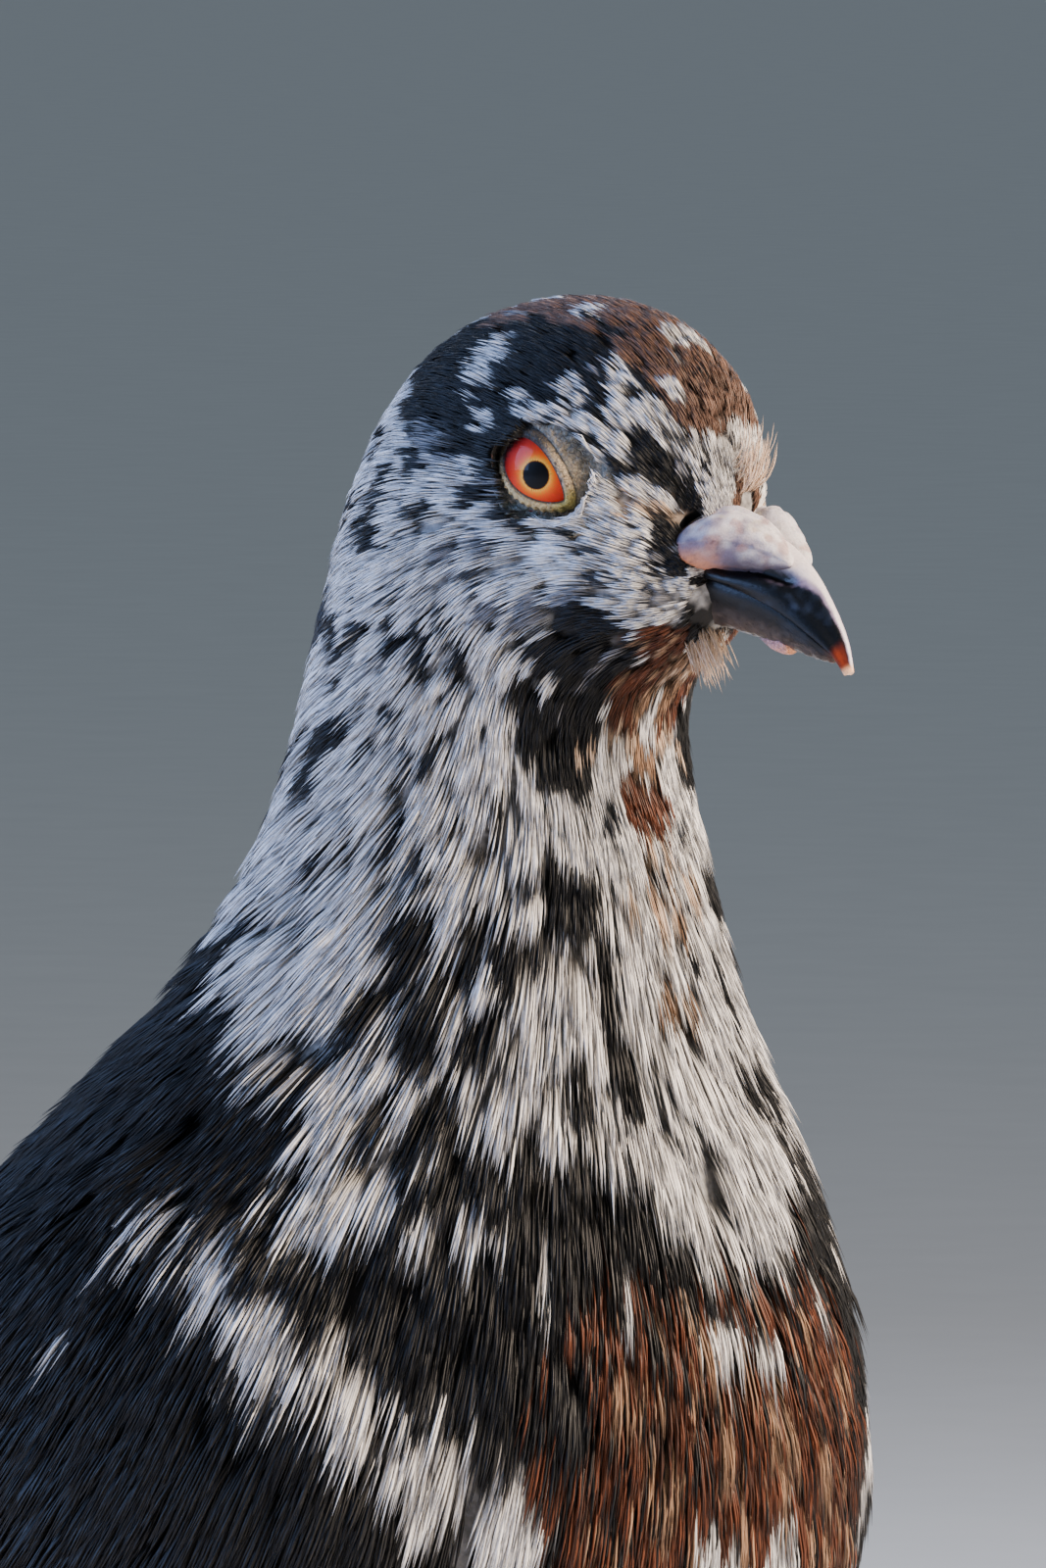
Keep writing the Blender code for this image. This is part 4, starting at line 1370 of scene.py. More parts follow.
@dataclass
class Wing:
    """One folded wing, left (side 1) or right (-1): coverts, scapulars, secondaries and primaries as vanes."""

    bird: Bird
    side: int
    finish: Material
    rings: int = 13
    long_from: float = 35.0
    primary_from: float = 60.0
    roll: float = 12.0
    primary_roll: float = 19.0
    last_station: float = 22.2
    tones: tuple[str, str] = ("#090A0D", "#181A1F")

    def build(self) -> None:
        """Lays every row, outermost feathers last."""
        word = dict(SIDES)[self.side]
        flight = Coat(f"flight_feathers_{word}", self.finish)
        coverts = Coat(f"coverts_{word}", self.finish)
        for number, row in enumerate(WING_ROWS):
            rng = np.random.default_rng(400 + number * 2 + (self.side > 0))
            (flight if row.length > self.long_from else coverts).add(self._row(row, rng))
        flight.finish()
        coverts.finish()

    def _row(self, row: VaneRow, rng: np.random.Generator) -> Blades:
        """Lays one row of vanes along the wing's own edges."""
        surface = self.bird.surface
        count = row.count
        share = np.linspace(row.high, row.low, count) + rng.uniform(-0.01, 0.01, count)
        length = row.length * rng.uniform(0.96, 1.05, count)
        s = row.station + rng.uniform(-0.06, 0.06, count) + 0.25 * np.abs(share - 0.35)
        long, primary = row.length > self.long_from, row.length > self.primary_from
        rings = self.rings * (2 if long else 1)
        k = np.linspace(0, 1, rings)
        stations, angles, places, outs = [s], [], [], []
        for step in range(rings):
            upper, lower = wing_edges(stations[-1])
            angle = self.side * (upper + (lower - upper) * share)
            point, out, along, _ = surface.at(stations[-1], angle)
            angles.append(angle)
            places.append(point)
            outs.append(out)
            if step < rings - 1:
                metric = np.maximum(np.linalg.norm(along, axis=1), 0.5)
                stations.append(np.minimum(stations[-1] + length / (rings - 1) / metric, self.last_station))
        centre, out = np.stack(places, axis=1), unit(np.stack(outs, axis=1))
        for _ in range(20 if long else 2):
            centre[:, 1:-1] = (centre[:, :-2] + 2 * centre[:, 1:-1] + centre[:, 2:]) / 4
            out[:, 1:-1] = unit(out[:, :-2] + 2 * out[:, 1:-1] + out[:, 2:])
        depth = 1.6 if long else 1.3
        fold = (1 - share)[:, None] * (0.2 + k * (3.6 if primary else 0.8))
        lift = row.lift * (1 - 0.9 * k * share[:, None]) if row.lift < 0 else row.lift
        height = -depth * (1 - k) ** 1.3 + 0.25 * k + lift - 0.3 + fold
        centre = centre + out * height[..., None]
        roll = math.radians(self.primary_roll if primary else self.roll) * self.side
        side, up = rolled(*frame_along(centre, out), roll)
        narrow = 1 - (0.52 * ease(k, 0.1, 0.6) if primary else 0.25 * ease(k, 0.4, 0.9) * long)
        halves = row.half * (vane_outline(k) * narrow)[None] * rng.uniform(0.94, 1.06, (count, 1))
        halves = halves * (1 + rng.uniform(-0.04, 0.04, halves.shape))
        tone = blend(*hexes(*self.tones), mottle(centre[:, rings * 2 // 3], 14.0, 91))
        tone = tone * rng.uniform(0.75, 1.35, (count, 1))
        edge = 1 + 0.3 * ease(k, 0.86, 1.0)
        colours = tone[:, None] * edge[None, :, None] * (0.7 + 0.3 * ease(k, 0.0, 0.4))[None, :, None]
        spot = rings // 3
        spots = unwrap_spots(surface, stations[spot], angles[spot])
        heights = np.full(halves.shape, 0.24) * np.clip(1.2 - k, 0.3, 1)
        return Blades(centre, side, up, halves, heights, VANE, colours, spots)


@dataclass
class Tail:
    """Twelve tail feathers, closed over one another, with their coverts above and below."""

    bird: Bird
    finish: Material
    feathers: int = 12
    rings: int = 14
    first: float = 17.4
    last: float = 22.95
    half: float = 7.2
    colour: str = "#24272C"
    covert_colour: str = "#1E2126"

    def build(self) -> None:
        """Lays the feathers and makes them one piece."""
        surface = self.bird.surface
        coat = Coat("tail_feathers", self.finish)
        rng = np.random.default_rng(77)
        order = np.arange(self.feathers) - (self.feathers - 1) / 2
        k = np.linspace(0, 1, self.rings)
        s = self.first + (self.last - self.first) * k
        top = surface.at(s, np.zeros(self.rings))
        under = surface.at(s, np.full(self.rings, 180.0))[0]
        middle = top[0] * 0.62 + under * 0.38
        middle[:, 1] = 0
        width = np.interp(s, (17, 18, 19, 20, 21, 22, 23), (5.0, 8.0, 11.0, 14.5, 17.5, 18.0, 17.6))
        part = order / order[-1]
        centre = np.repeat(middle[None], self.feathers, axis=0)
        centre[..., 1] = part[:, None] * width[None]
        centre[..., 2] -= (np.abs(order)[:, None] * 0.26) + (part[:, None] ** 2) * 1.1
        centre[..., 0] += np.abs(part)[:, None] ** 2 * 3.0 * k[None]
        out = np.tile(np.array([0.0, 0.0, 1.0]), (self.feathers, self.rings, 1))
        side, up = frame_along(centre, out)
        halves = self.half * vane_outline(k, 0.82)[None] * np.ones((self.feathers, 1))
        tone = np.tile(linear(self.colour), (self.feathers, 1)) * rng.uniform(0.85, 1.2, (self.feathers, 1))
        band = 1 - 0.55 * ease(k, 0.72, 0.76) + 0.25 * ease(k, 0.93, 0.97)
        colours = tone[:, None] * band[None, :, None]
        spots = np.column_stack([0.5 + part * 0.3, np.full(self.feathers, 0.9)])
        coat.add(Blades(centre, side, up, halves, np.full(halves.shape, 0.4), VANE, colours, spots))
        coat.finish()
        self._coverts(rng)

    def _coverts(self, rng: np.random.Generator) -> None:
        """Lays the soft feathers over and under the tail's root."""
        coat = Coat("tail_coverts", self.finish)
        for station, count, spread, length, half in ((16.2, 7, 60, 24, 6.5), (17.2, 7, 62, 26, 6.5),
                                                     (18.1, 6, 50, 26, 6.0)):
            for middle in (0.0, 180.0):
                coat.add(self._fan(station, count, spread, length, half, middle, rng))
        coat.finish()

    def _fan(self, station: float, count: int, spread: float, length: float, half: float, middle: float,
             rng: np.random.Generator) -> Blades:
        """Lays one fan of coverts about the back's or the belly's midline."""
        s = np.full(count, station) + rng.uniform(-0.1, 0.1, count)
        t = middle + np.linspace(-spread, spread, count)
        places, outs, *_ = walk(self.bird.surface, s, t, np.full(count, length),
                                lambda a, b: np.zeros(len(a)), 9)
        k = np.linspace(0, 1, 10)
        centre = places + outs * (-1.4 * (1 - k) + 0.2)[None, :, None]
        side, up = frame_along(centre, outs)
        halves = half * vane_outline(k, 0.5)[None] * rng.uniform(0.9, 1.1, (count, 1))
        tone = np.tile(linear(self.covert_colour), (count, 1)) * rng.uniform(0.8, 1.3, (count, 1))
        spots = unwrap_spots(self.bird.surface, s, (t + 180) % 360 - 180)
        return Blades(centre, side, up, halves, np.full(halves.shape, 0.3), VANE,
                      np.tile(tone[:, None], (1, len(k), 1)), spots)


@dataclass
class Thighs:
    """The feathered thighs."""

    bird: Bird
    finish: Material
    last_station: float = 3.75
    rows: int = 12
    columns: int = 72
    straight: int = 18

    def build(self) -> None:
        """Grows short feathers down each thigh to the ankle."""
        for side, word in SIDES:
            hull = build_hull("thigh_hull", [self.bird.nodes[f"thigh_{word}"]], 0.8)
            surface = Surface(THIGH_STATIONS, tree_of(hull), self.bird.shift, side * FOOT_Y,
                              self.rows, self.columns, straight=self.straight)
            bpy.data.objects.remove(hull)
            rng = np.random.default_rng(300 + side)
            s, t = scatter(surface, 0.0, self.last_station, lambda a, b: np.ones(a.shape),
                           lambda a: np.where(a < 1.3, 1.9, 2.9), rng)
            shrink = 1 - 0.13 * s
            sizes = {"length": 12.0 * shrink, "depth": 2.0 * shrink, "strand_half": 0.24 * shrink,
                     "fan_half": 2.1 * shrink}
            dark = ThighMarkings()
            coat = Coat(f"plumage_thigh_{word}", self.finish)
            coat.add(tuft_blades(surface, s, t, TuftCut(9, 4), lambda a, b: np.zeros(len(a)), dark, sizes, rng))
            coat.finish()


@dataclass(frozen=True)
class ThighMarkings(Markings):
    """The thighs' plain pattern of black and slate."""

    def colours(self, s: Array, t: Array, points: Array) -> Array:
        """Gives the thigh feathers' linear colour at some places."""
        colour = np.tile(linear(Tone.SLATE.value), (len(s), 1))
        self._lay(colour, mottle(points, 4.0, 32) > 0.4, Tone.BLACK)
        return colour * (0.8 + 0.4 * mottle(points, 0.9, 33)[:, None])


# ---------------------------------------------------------------- head and feet


def pulled_ball(name: str, segments: int, rings: int, shape: Rule) -> Object:
    """Adds a ball and pulls it into a shape.

    Args:
        name: the new object's name.
        segments: how many points round it.
        rings: how many from pole to pole.
        shape: gives a place, in millimetres, for each part of the way from the first pole (0 to 1) and each
            angle round the ball, in radians.

    Returns:
        The new closed object.
    """
    bpy.ops.object.select_all(action="DESELECT")
    bpy.ops.mesh.primitive_uv_sphere_add(segments=segments, ring_count=rings, radius=1.0)
    ball = bpy.context.active_object
    places = vertices_of(ball) * MM
    part = np.arccos(np.clip(places[:, 2], -1, 1)) / math.pi
    return finish_pull(ball, name, shape(part, np.arctan2(places[:, 1], places[:, 0])))


def pulled_ring(name: str, segments: int, rings: int, shape: Rule) -> Object:
    """Adds a ring and pulls it into a shape.

    Args:
        name: the new object's name.
        segments: how many points round the ring.
        rings: how many round its own section.
        shape: gives a place, in millimetres, for each angle round the ring and each angle round its section,
            from the outer side over the top, both in radians.

    Returns:
        The new closed object.
    """
    bpy.ops.object.select_all(action="DESELECT")
    bpy.ops.mesh.primitive_torus_add(major_segments=segments, minor_segments=rings, major_radius=1.0,
                                     minor_radius=0.25)
    ring = bpy.context.active_object
    places = vertices_of(ring) * MM
    around = np.arctan2(places[:, 1], places[:, 0])
    section = np.arctan2(places[:, 2], np.hypot(places[:, 0], places[:, 1]) - 1.0)
    return finish_pull(ring, name, shape(around, section))


def finish_pull(item: Object, name: str, places: Array) -> Object:
    """Names a pulled primitive, moves its vertices and turns its faces outwards."""
    item.name = name
    move_vertices(item, places)
    pick_only(item)
    edit_all(bpy.ops.mesh.normals_make_consistent, inside=False)
    bpy.ops.object.shade_smooth()
    return item


def tint(item: Object, colours: Array, finish: Material) -> None:
    """Stores a piece's own linear colours and gives it its finish."""
    give_colour(item, "tint", colours)
    dress(item, finish)


@dataclass(frozen=True)
class WetIris:
    """A living eye: red iris fibres round a black pupil, under a clear wet cornea that shows as a sharp gloss."""

    reach: float = 4.0
    stops: tuple[tuple[float, str], ...] = (
        (0.0, "#010101"), (0.296, "#020101"), (0.312, "#7A3A0C"), (0.332, "#F0B044"), (0.38, "#EE8C1E"),
        (0.45, "#E25A10"), (0.55, "#D0360C"), (0.7, "#B41E0A"), (0.84, "#8A120A"), (0.92, "#3A0806"),
        (1.0, "#120606"),
    )

    def build(self) -> Material:
        """Makes the material, which reads each place's distance from the pupil's middle."""
        material, tree, shader = new_material("wet_iris")
        gaze = add(tree, "Attribute", attribute_name="gaze").outputs["Vector"]
        axes = add(tree, "SeparateXYZ", {0: gaze}).outputs
        flat = add(tree, "CombineXYZ", {"X": axes["X"], "Y": axes["Y"]}).outputs[0]
        radius = add(tree, "VectorMath", {0: flat}, operation="LENGTH").outputs["Value"]
        heading = add(tree, "VectorMath", {0: flat}, operation="NORMALIZE").outputs["Vector"]
        spread = add(tree, "VectorMath", {0: heading, "Scale": 11.0}, operation="SCALE").outputs["Vector"]
        depth = add(tree, "CombineXYZ", {"Z": radius}).outputs[0]
        place = add(tree, "VectorMath", {0: spread, 1: depth}, operation="ADD").outputs["Vector"]
        fibre = add(tree, "TexNoise", {"Vector": place, "Scale": 2.4, "Detail": 5.0, "Roughness": 0.65})
        shift = add(tree, "Math", {0: fibre.outputs["Fac"], 1: 0.5}, operation="SUBTRACT").outputs[0]
        inside = add(tree, "MapRange", {"Value": radius, "From Min": 1.2, "From Max": 1.6,
                                                  "To Min": 0.16, "To Max": 1.5}).outputs["Result"]
        moved = add(tree, "Math", {0: shift, 1: inside, 2: radius}, operation="MULTIPLY_ADD").outputs[0]
        part = add(tree, "Math", {0: moved, 1: self.reach}, operation="DIVIDE").outputs[0]
        colour = ramp(tree, part, self.stops)
        light = add(tree, "MapRange", {"Value": fibre.outputs["Fac"], "From Min": 0.3, "From Max": 0.7,
                                                 "To Min": 0.6, "To Max": 1.25}).outputs["Result"]
        mixed = add(tree, "VectorMath", {0: colour, "Scale": light}, operation="SCALE")
        put(tree, shader, {"Base Color": mixed.outputs["Vector"], "Roughness": 0.5, "IOR": 1.376,
                           "Specular IOR Level": 0.15, "Coat Weight": 0.22, "Coat Roughness": 0.03,
                           "Coat IOR": 1.376})
        return material


@dataclass
class Eye:
    """One eyeball and the bare lids round it."""

    bird: Bird
    place: EyePlace
    iris: Material
    lid_finish: Material
    radius: float = 5.4
    long_half: float = 3.72
    short_half: float = 2.2
    set_back: float = 0.5
    set_down: float = 0.2
    point: float = 0.42
    bead_mm: float = 0.62
    outer_radius: float = 6.0

    def build(self) -> None:
        """Makes the eyeball and its lids."""
        word = dict(SIDES)[self.place.side]
        self._ball(word)
        self._lids(word)

    def _ball(self, word: str) -> None:
        """Makes the eyeball, with its rings closest where the pupil and iris are."""
        long_axis, short_axis, out = self.place.axes()

        def shape(part: Array, around: Array) -> Array:
            """Gives points on the eyeball."""
            lean = math.pi * part**1.5
            flat = self.radius * np.sin(lean)
            return (self.place.centre + np.outer(flat * np.cos(around), long_axis)
                    + np.outer(flat * np.sin(around), short_axis) + np.outer(self.radius * np.cos(lean), out))

        ball = pulled_ball(f"eyeball_{word}", 64, 56, shape)
        away = vertices_of(ball) - self.place.centre
        local = np.column_stack([away @ long_axis, away @ short_axis, away @ out])
        local[:, 0] = np.where(local[:, 2] < 0, self.radius, local[:, 0])
        give_attribute(ball, "gaze", local)
        dress(ball, self.iris)
        settle(ball, (f"eye_{word}",))

    def _opening(self, around: Array, grow: Array) -> Array:
        """Gives the lids' edge in the eye's own flat frame, pushed outwards by grow."""
        pull = np.abs(np.sin(around / 2)) ** self.point / 0.87
        x = self.long_half * np.cos(around) - self.set_back
        y = self.short_half * np.sin(around) * pull - self.set_down
        slope_x, slope_y = -self.long_half * np.sin(around), self.short_half * np.cos(around) * 0.9
        length = np.maximum(np.hypot(slope_x, slope_y), 1e-6)
        return np.column_stack([x + grow * slope_y / length, y - grow * slope_x / length])

    def _lids(self, word: str) -> None:
        """Makes the beaded rims and the wrinkled bare skin that runs under the feathers."""
        long_axis, short_axis, out = self.place.axes()
        ahead = np.array([self.bird.ring_ahead, 0, 0])
        middle = np.array([ahead @ long_axis, ahead @ short_axis])
        knots = np.array([0, 0.07, 0.14, 0.22, 0.3, 0.38, 0.46, 0.6, 0.8, 0.93, 1.0])
        offsets = np.array([-0.3, 0.0, 0.2, 0.42, 0.66, 0.84, 1.0, 1.0, 1.0, 1.0, 1.0])
        rises = np.array([-0.16, 0.1, 0.34, 0.42, 0.34, 0.1, 0.16, 0.2, 0.1, -0.2, -1.4])
        spreads = np.array([0, 0, 0, 0, 0, 0, 0, 0.28, 0.7, 0.92, 1.0])
        marks: dict[str, Array] = {}

        def shape(around: Array, section: Array) -> Array:
            """Gives points on the lid's ring, and keeps its colours."""
            over = section >= -1e-6
            part = np.where(over, 1 - section / math.pi, 1 + section / math.pi)
            around = around % math.tau
            beads = self._beads(around)
            lower = ease(-np.sin(around), -0.5, 0.35)
            offset = np.interp(part, knots, offsets)
            rim = bell(part, 0.33, 0.07)
            uneven = 0.5 + mottle(np.column_stack([np.cos(around) * 4, np.sin(around) * 4, 0 * around]), 0.9, 47)
            offset = offset + rim * 0.13 * beads * lower * uneven
            ridge = 0.16 * bell(part, 0.52, 0.045) * (1 - lower)
            rise = np.interp(part, knots, rises) + rim * 0.07 * beads * lower * uneven + ridge
            spread = np.interp(part, knots, spreads)
            edge = self._opening(around, offset)
            turned = np.arctan2(edge[:, 1] - middle[1], edge[:, 0] - middle[0])
            rim_circle = middle + self.outer_radius * np.column_stack([np.cos(turned), np.sin(turned)])
            flat = edge + (rim_circle - edge) * spread[:, None]
            away = np.hypot(flat[:, 0], flat[:, 1])
            ball = np.sqrt(np.clip(self.radius**2 - away**2, 0.5, None))
            head = self._head_level(flat)
            level = ball + (head - 0.5 - ball) * ease(spread, 0.05, 0.85)
            places3 = np.column_stack([flat * 1.6, around])
            skin = ease(part, 0.4, 0.55)
            folds = skin * (0.12 * np.sin(spread * 26 + 3 * mottle(places3, 1.4, 41)) * (1 - spread)
                            + 0.34 * (mottle(places3, 0.7, 42) - 0.5) + 0.34 * (mottle(places3, 0.34, 43) - 0.5))
            height = np.where(over, level + rise + folds, np.minimum(level - 0.25, level + rise - 0.5))
            marks.update(part=part, around=around, beads=beads, lower=lower, flat=flat)
            return (self.place.centre + np.outer(flat[:, 0], long_axis) + np.outer(flat[:, 1], short_axis)
                    + np.outer(height, out))

        lids = pulled_ring(f"eyelids_{word}", 224, 56, shape)
        self._paint_lids(lids, marks)
        settle(lids, (f"eyelid_{word}",))

    def _beads(self, around: Array) -> Array:
        """Gives the small regular swellings along the rims, from -1 to 1."""
        turn = np.linspace(0, math.tau, 721)
        run = np.concatenate([[0], np.cumsum(np.linalg.norm(np.diff(self._opening(turn, 0 * turn), axis=0), axis=1))])
        count = round(run[-1] / self.bead_mm)
        return np.cos(np.interp(around, turn, run) / run[-1] * count * math.tau)

    def _head_level(self, flat: Array) -> Array:
        """Reads how far out the plumage's surface is over places in the eye's flat frame."""
        long_axis, short_axis, out = self.place.axes()
        levels = np.empty(len(flat))
        plumage = self.bird.surface.tree()
        for index, (x, y) in enumerate(flat):
            start = (self.place.centre + long_axis * x + short_axis * y + out * 14.0) * MM
            hit = plumage.ray_cast(Vector(start), Vector(-out))[3]
            levels[index] = 14.0 - hit / MM if hit is not None else 0.0
        return levels

    def _paint_lids(self, lids: Object, marks: dict[str, Array]) -> None:
        """Colours the rims buff and yellow and the skin grey-olive. It adds painted shade: dark at the rear corner
        and upper side under the brow, in the grooves between beads, in the crease between rim and skin, and at the
        inner edge against the eyeball.
        """
        part, around, flat = marks["part"], marks["around"], marks["flat"]
        cream, yellow, dark, crease_shade, olive, grey, corner, wet, slate = hexes(
            "#9C8B72", "#BFA878", "#161516", "#4A3E30", "#7C7360", "#4F524D", "#BFAE52", "#1E0A08", "#6A6A66")
        points = vertices_of(lids)
        upper = ease(np.sin(around), -0.2, 0.6)
        rim = blend(yellow, cream, upper)
        rim = blend(rim, corner, ease(np.cos(around), 0.75, 0.99) * 0.7)
        # painted shade: the rim darkens at the rear corner and upper side, under the brow
        rear = ease(-np.cos(around) + 0.35 * np.sin(around), 0.0, 0.7)
        rim = blend(rim, dark, rear * 0.92)
        rim = blend(rim, dark, (mottle(points, 0.22, 48) > 0.7) * ease(np.sin(around), -0.2, 0.6) * 0.7)
        # painted shade in the grooves between the lower rim's beads
        rim = blend(rim, crease_shade, (0.5 - 0.5 * marks["beads"]) * marks["lower"] * 0.35 * ease(part, 0.16, 0.34))
        front = ease(flat[:, 0] + flat[:, 1], -2.0, 4.0)
        skin = blend(grey, olive, front)
        # painted shade: the skin darkens to slate on its upper side and to near black at the rear, under the brow
        skin = blend(skin, slate, ease(flat[:, 1] - 0.3 * flat[:, 0], 1.6, 3.4) * 0.7)
        skin = blend(skin, dark, ease(-flat[:, 0] + 0.25 * flat[:, 1], 2.6, 4.4) * 0.9)
        skin = skin * (0.05 + 1.1 * mottle(points, 0.34, 44)[:, None] + 0.9 * mottle(points, 0.17, 49)[:, None])
        skin = blend(skin, cream * 0.9, (mottle(points, 0.3, 45) > 0.76) * 0.5)
        second = bell(part, 0.52, 0.05) * (1 - marks["lower"])
        skin = blend(skin, cream * 0.85, second * 0.7)
        colour = blend(rim * (0.78 + 0.4 * mottle(points, 0.3, 46)[:, None]), skin, ease(part, 0.36, 0.44))
        # painted shade in the crease between rim and skin
        colour = blend(colour, crease_shade * 0.7, bell(part, 0.4, 0.022) * 0.75)
        # painted shade at the inner edge, where the lid meets the eyeball
        colour = blend(colour, wet, 1 - ease(part, 0.05, 0.12))
        tint(lids, colour, self.lid_finish)


@dataclass(frozen=True)
class Wisp:
    """A few long loose barbs that stand free of the coat."""

    word: str
    station: float
    angle: float
    spread: tuple[float, float]
    count: int
    length: float
    heading: tuple[float, float, float]
    curl: tuple[float, float, float]
    tone: Tone


WISPS = (
    Wisp("forehead", 0.5, 0.0, (0.3, 12.0), 70, 4.6, (0.9, 0.0, 0.45), (-0.75, 0.0, 0.85), Tone.CREAM),
    Wisp("chin", 0.55, -172.0, (0.4, 12.0), 120, 3.3, (0.42, 0.0, -0.9), (0.1, 0.0, -0.5), Tone.CREAM),
)


def grow_wisps(bird: Bird, finish: Material) -> None:
    """Grows the loose barbs of the forehead and the chin."""
    for number, wisp in enumerate(WISPS):
        rng = np.random.default_rng(900 + number)
        s = wisp.station + rng.uniform(-1, 1, wisp.count) * wisp.spread[0]
        t = wisp.angle + rng.uniform(-1, 1, wisp.count) * wisp.spread[1]
        root, out, _, _ = bird.surface.at(s, t)
        k = np.linspace(0, 1, 6)[None, :, None]
        length = (wisp.length * rng.uniform(0.55, 1.1, wisp.count))[:, None, None]
        heading = unit(np.array(wisp.heading) + out * 0.25 + rng.normal(0, 0.13, (wisp.count, 3)))
        curl = np.array(wisp.curl) + rng.normal(0, 0.12, (wisp.count, 3))
        centre = (root - out * 0.5)[:, None] + length * (heading[:, None] * k + curl[:, None] * k**2 * 0.6)
        side, up = frame_along(centre, np.array([0.6, -0.8, 0.0]))
        halves = 0.075 * (1 - 0.6 * k[..., 0]) * rng.uniform(0.7, 1.2, (wisp.count, 1))
        shade = rng.uniform(0.7, 1.2, (wisp.count, 1, 1)) * np.ones((1, 6, 3))
        spots = unwrap_spots(bird.surface, s, t)
        coat = Coat(f"wisps_{wisp.word}", finish)
        coat.add(Blades(centre, side, up, halves, halves * 0.8, STRAND, np.array(linear(wisp.tone.value)) * shade,
                        spots))
        coat.finish()


@dataclass(frozen=True)
class BillSection:
    """One section of a mandible: its upper and lower points in side view and half its width."""

    top: tuple[float, float]
    bottom: tuple[float, float]
    half: float


UPPER_SECTIONS = (
    BillSection((23.6, 206.9), (22.4, 202.9), 3.7),
    BillSection((26.4, 206.6), (25.2, 202.1), 3.45),
    BillSection((29.9, 205.3), (28.4, 200.95), 2.95),
    BillSection((32.8, 203.0), (31.4, 199.4), 2.35),
    BillSection((35.1, 199.9), (34.0, 197.5), 1.75),
    BillSection((36.7, 196.9), (35.8, 195.8), 1.15),
    BillSection((37.4, 194.2), (36.8, 193.9), 0.5),
)
LOWER_SECTIONS = (
    BillSection((22.6, 202.4), (21.4, 198.0), 3.4),
    BillSection((25.2, 201.7), (24.4, 197.5), 3.15),
    BillSection((28.4, 200.7), (27.5, 196.8), 2.65),
    BillSection((31.3, 199.2), (30.9, 195.95), 2.1),
    BillSection((33.8, 197.3), (33.5, 195.2), 1.5),
    BillSection((35.5, 195.7), (35.3, 194.9), 0.7),
)


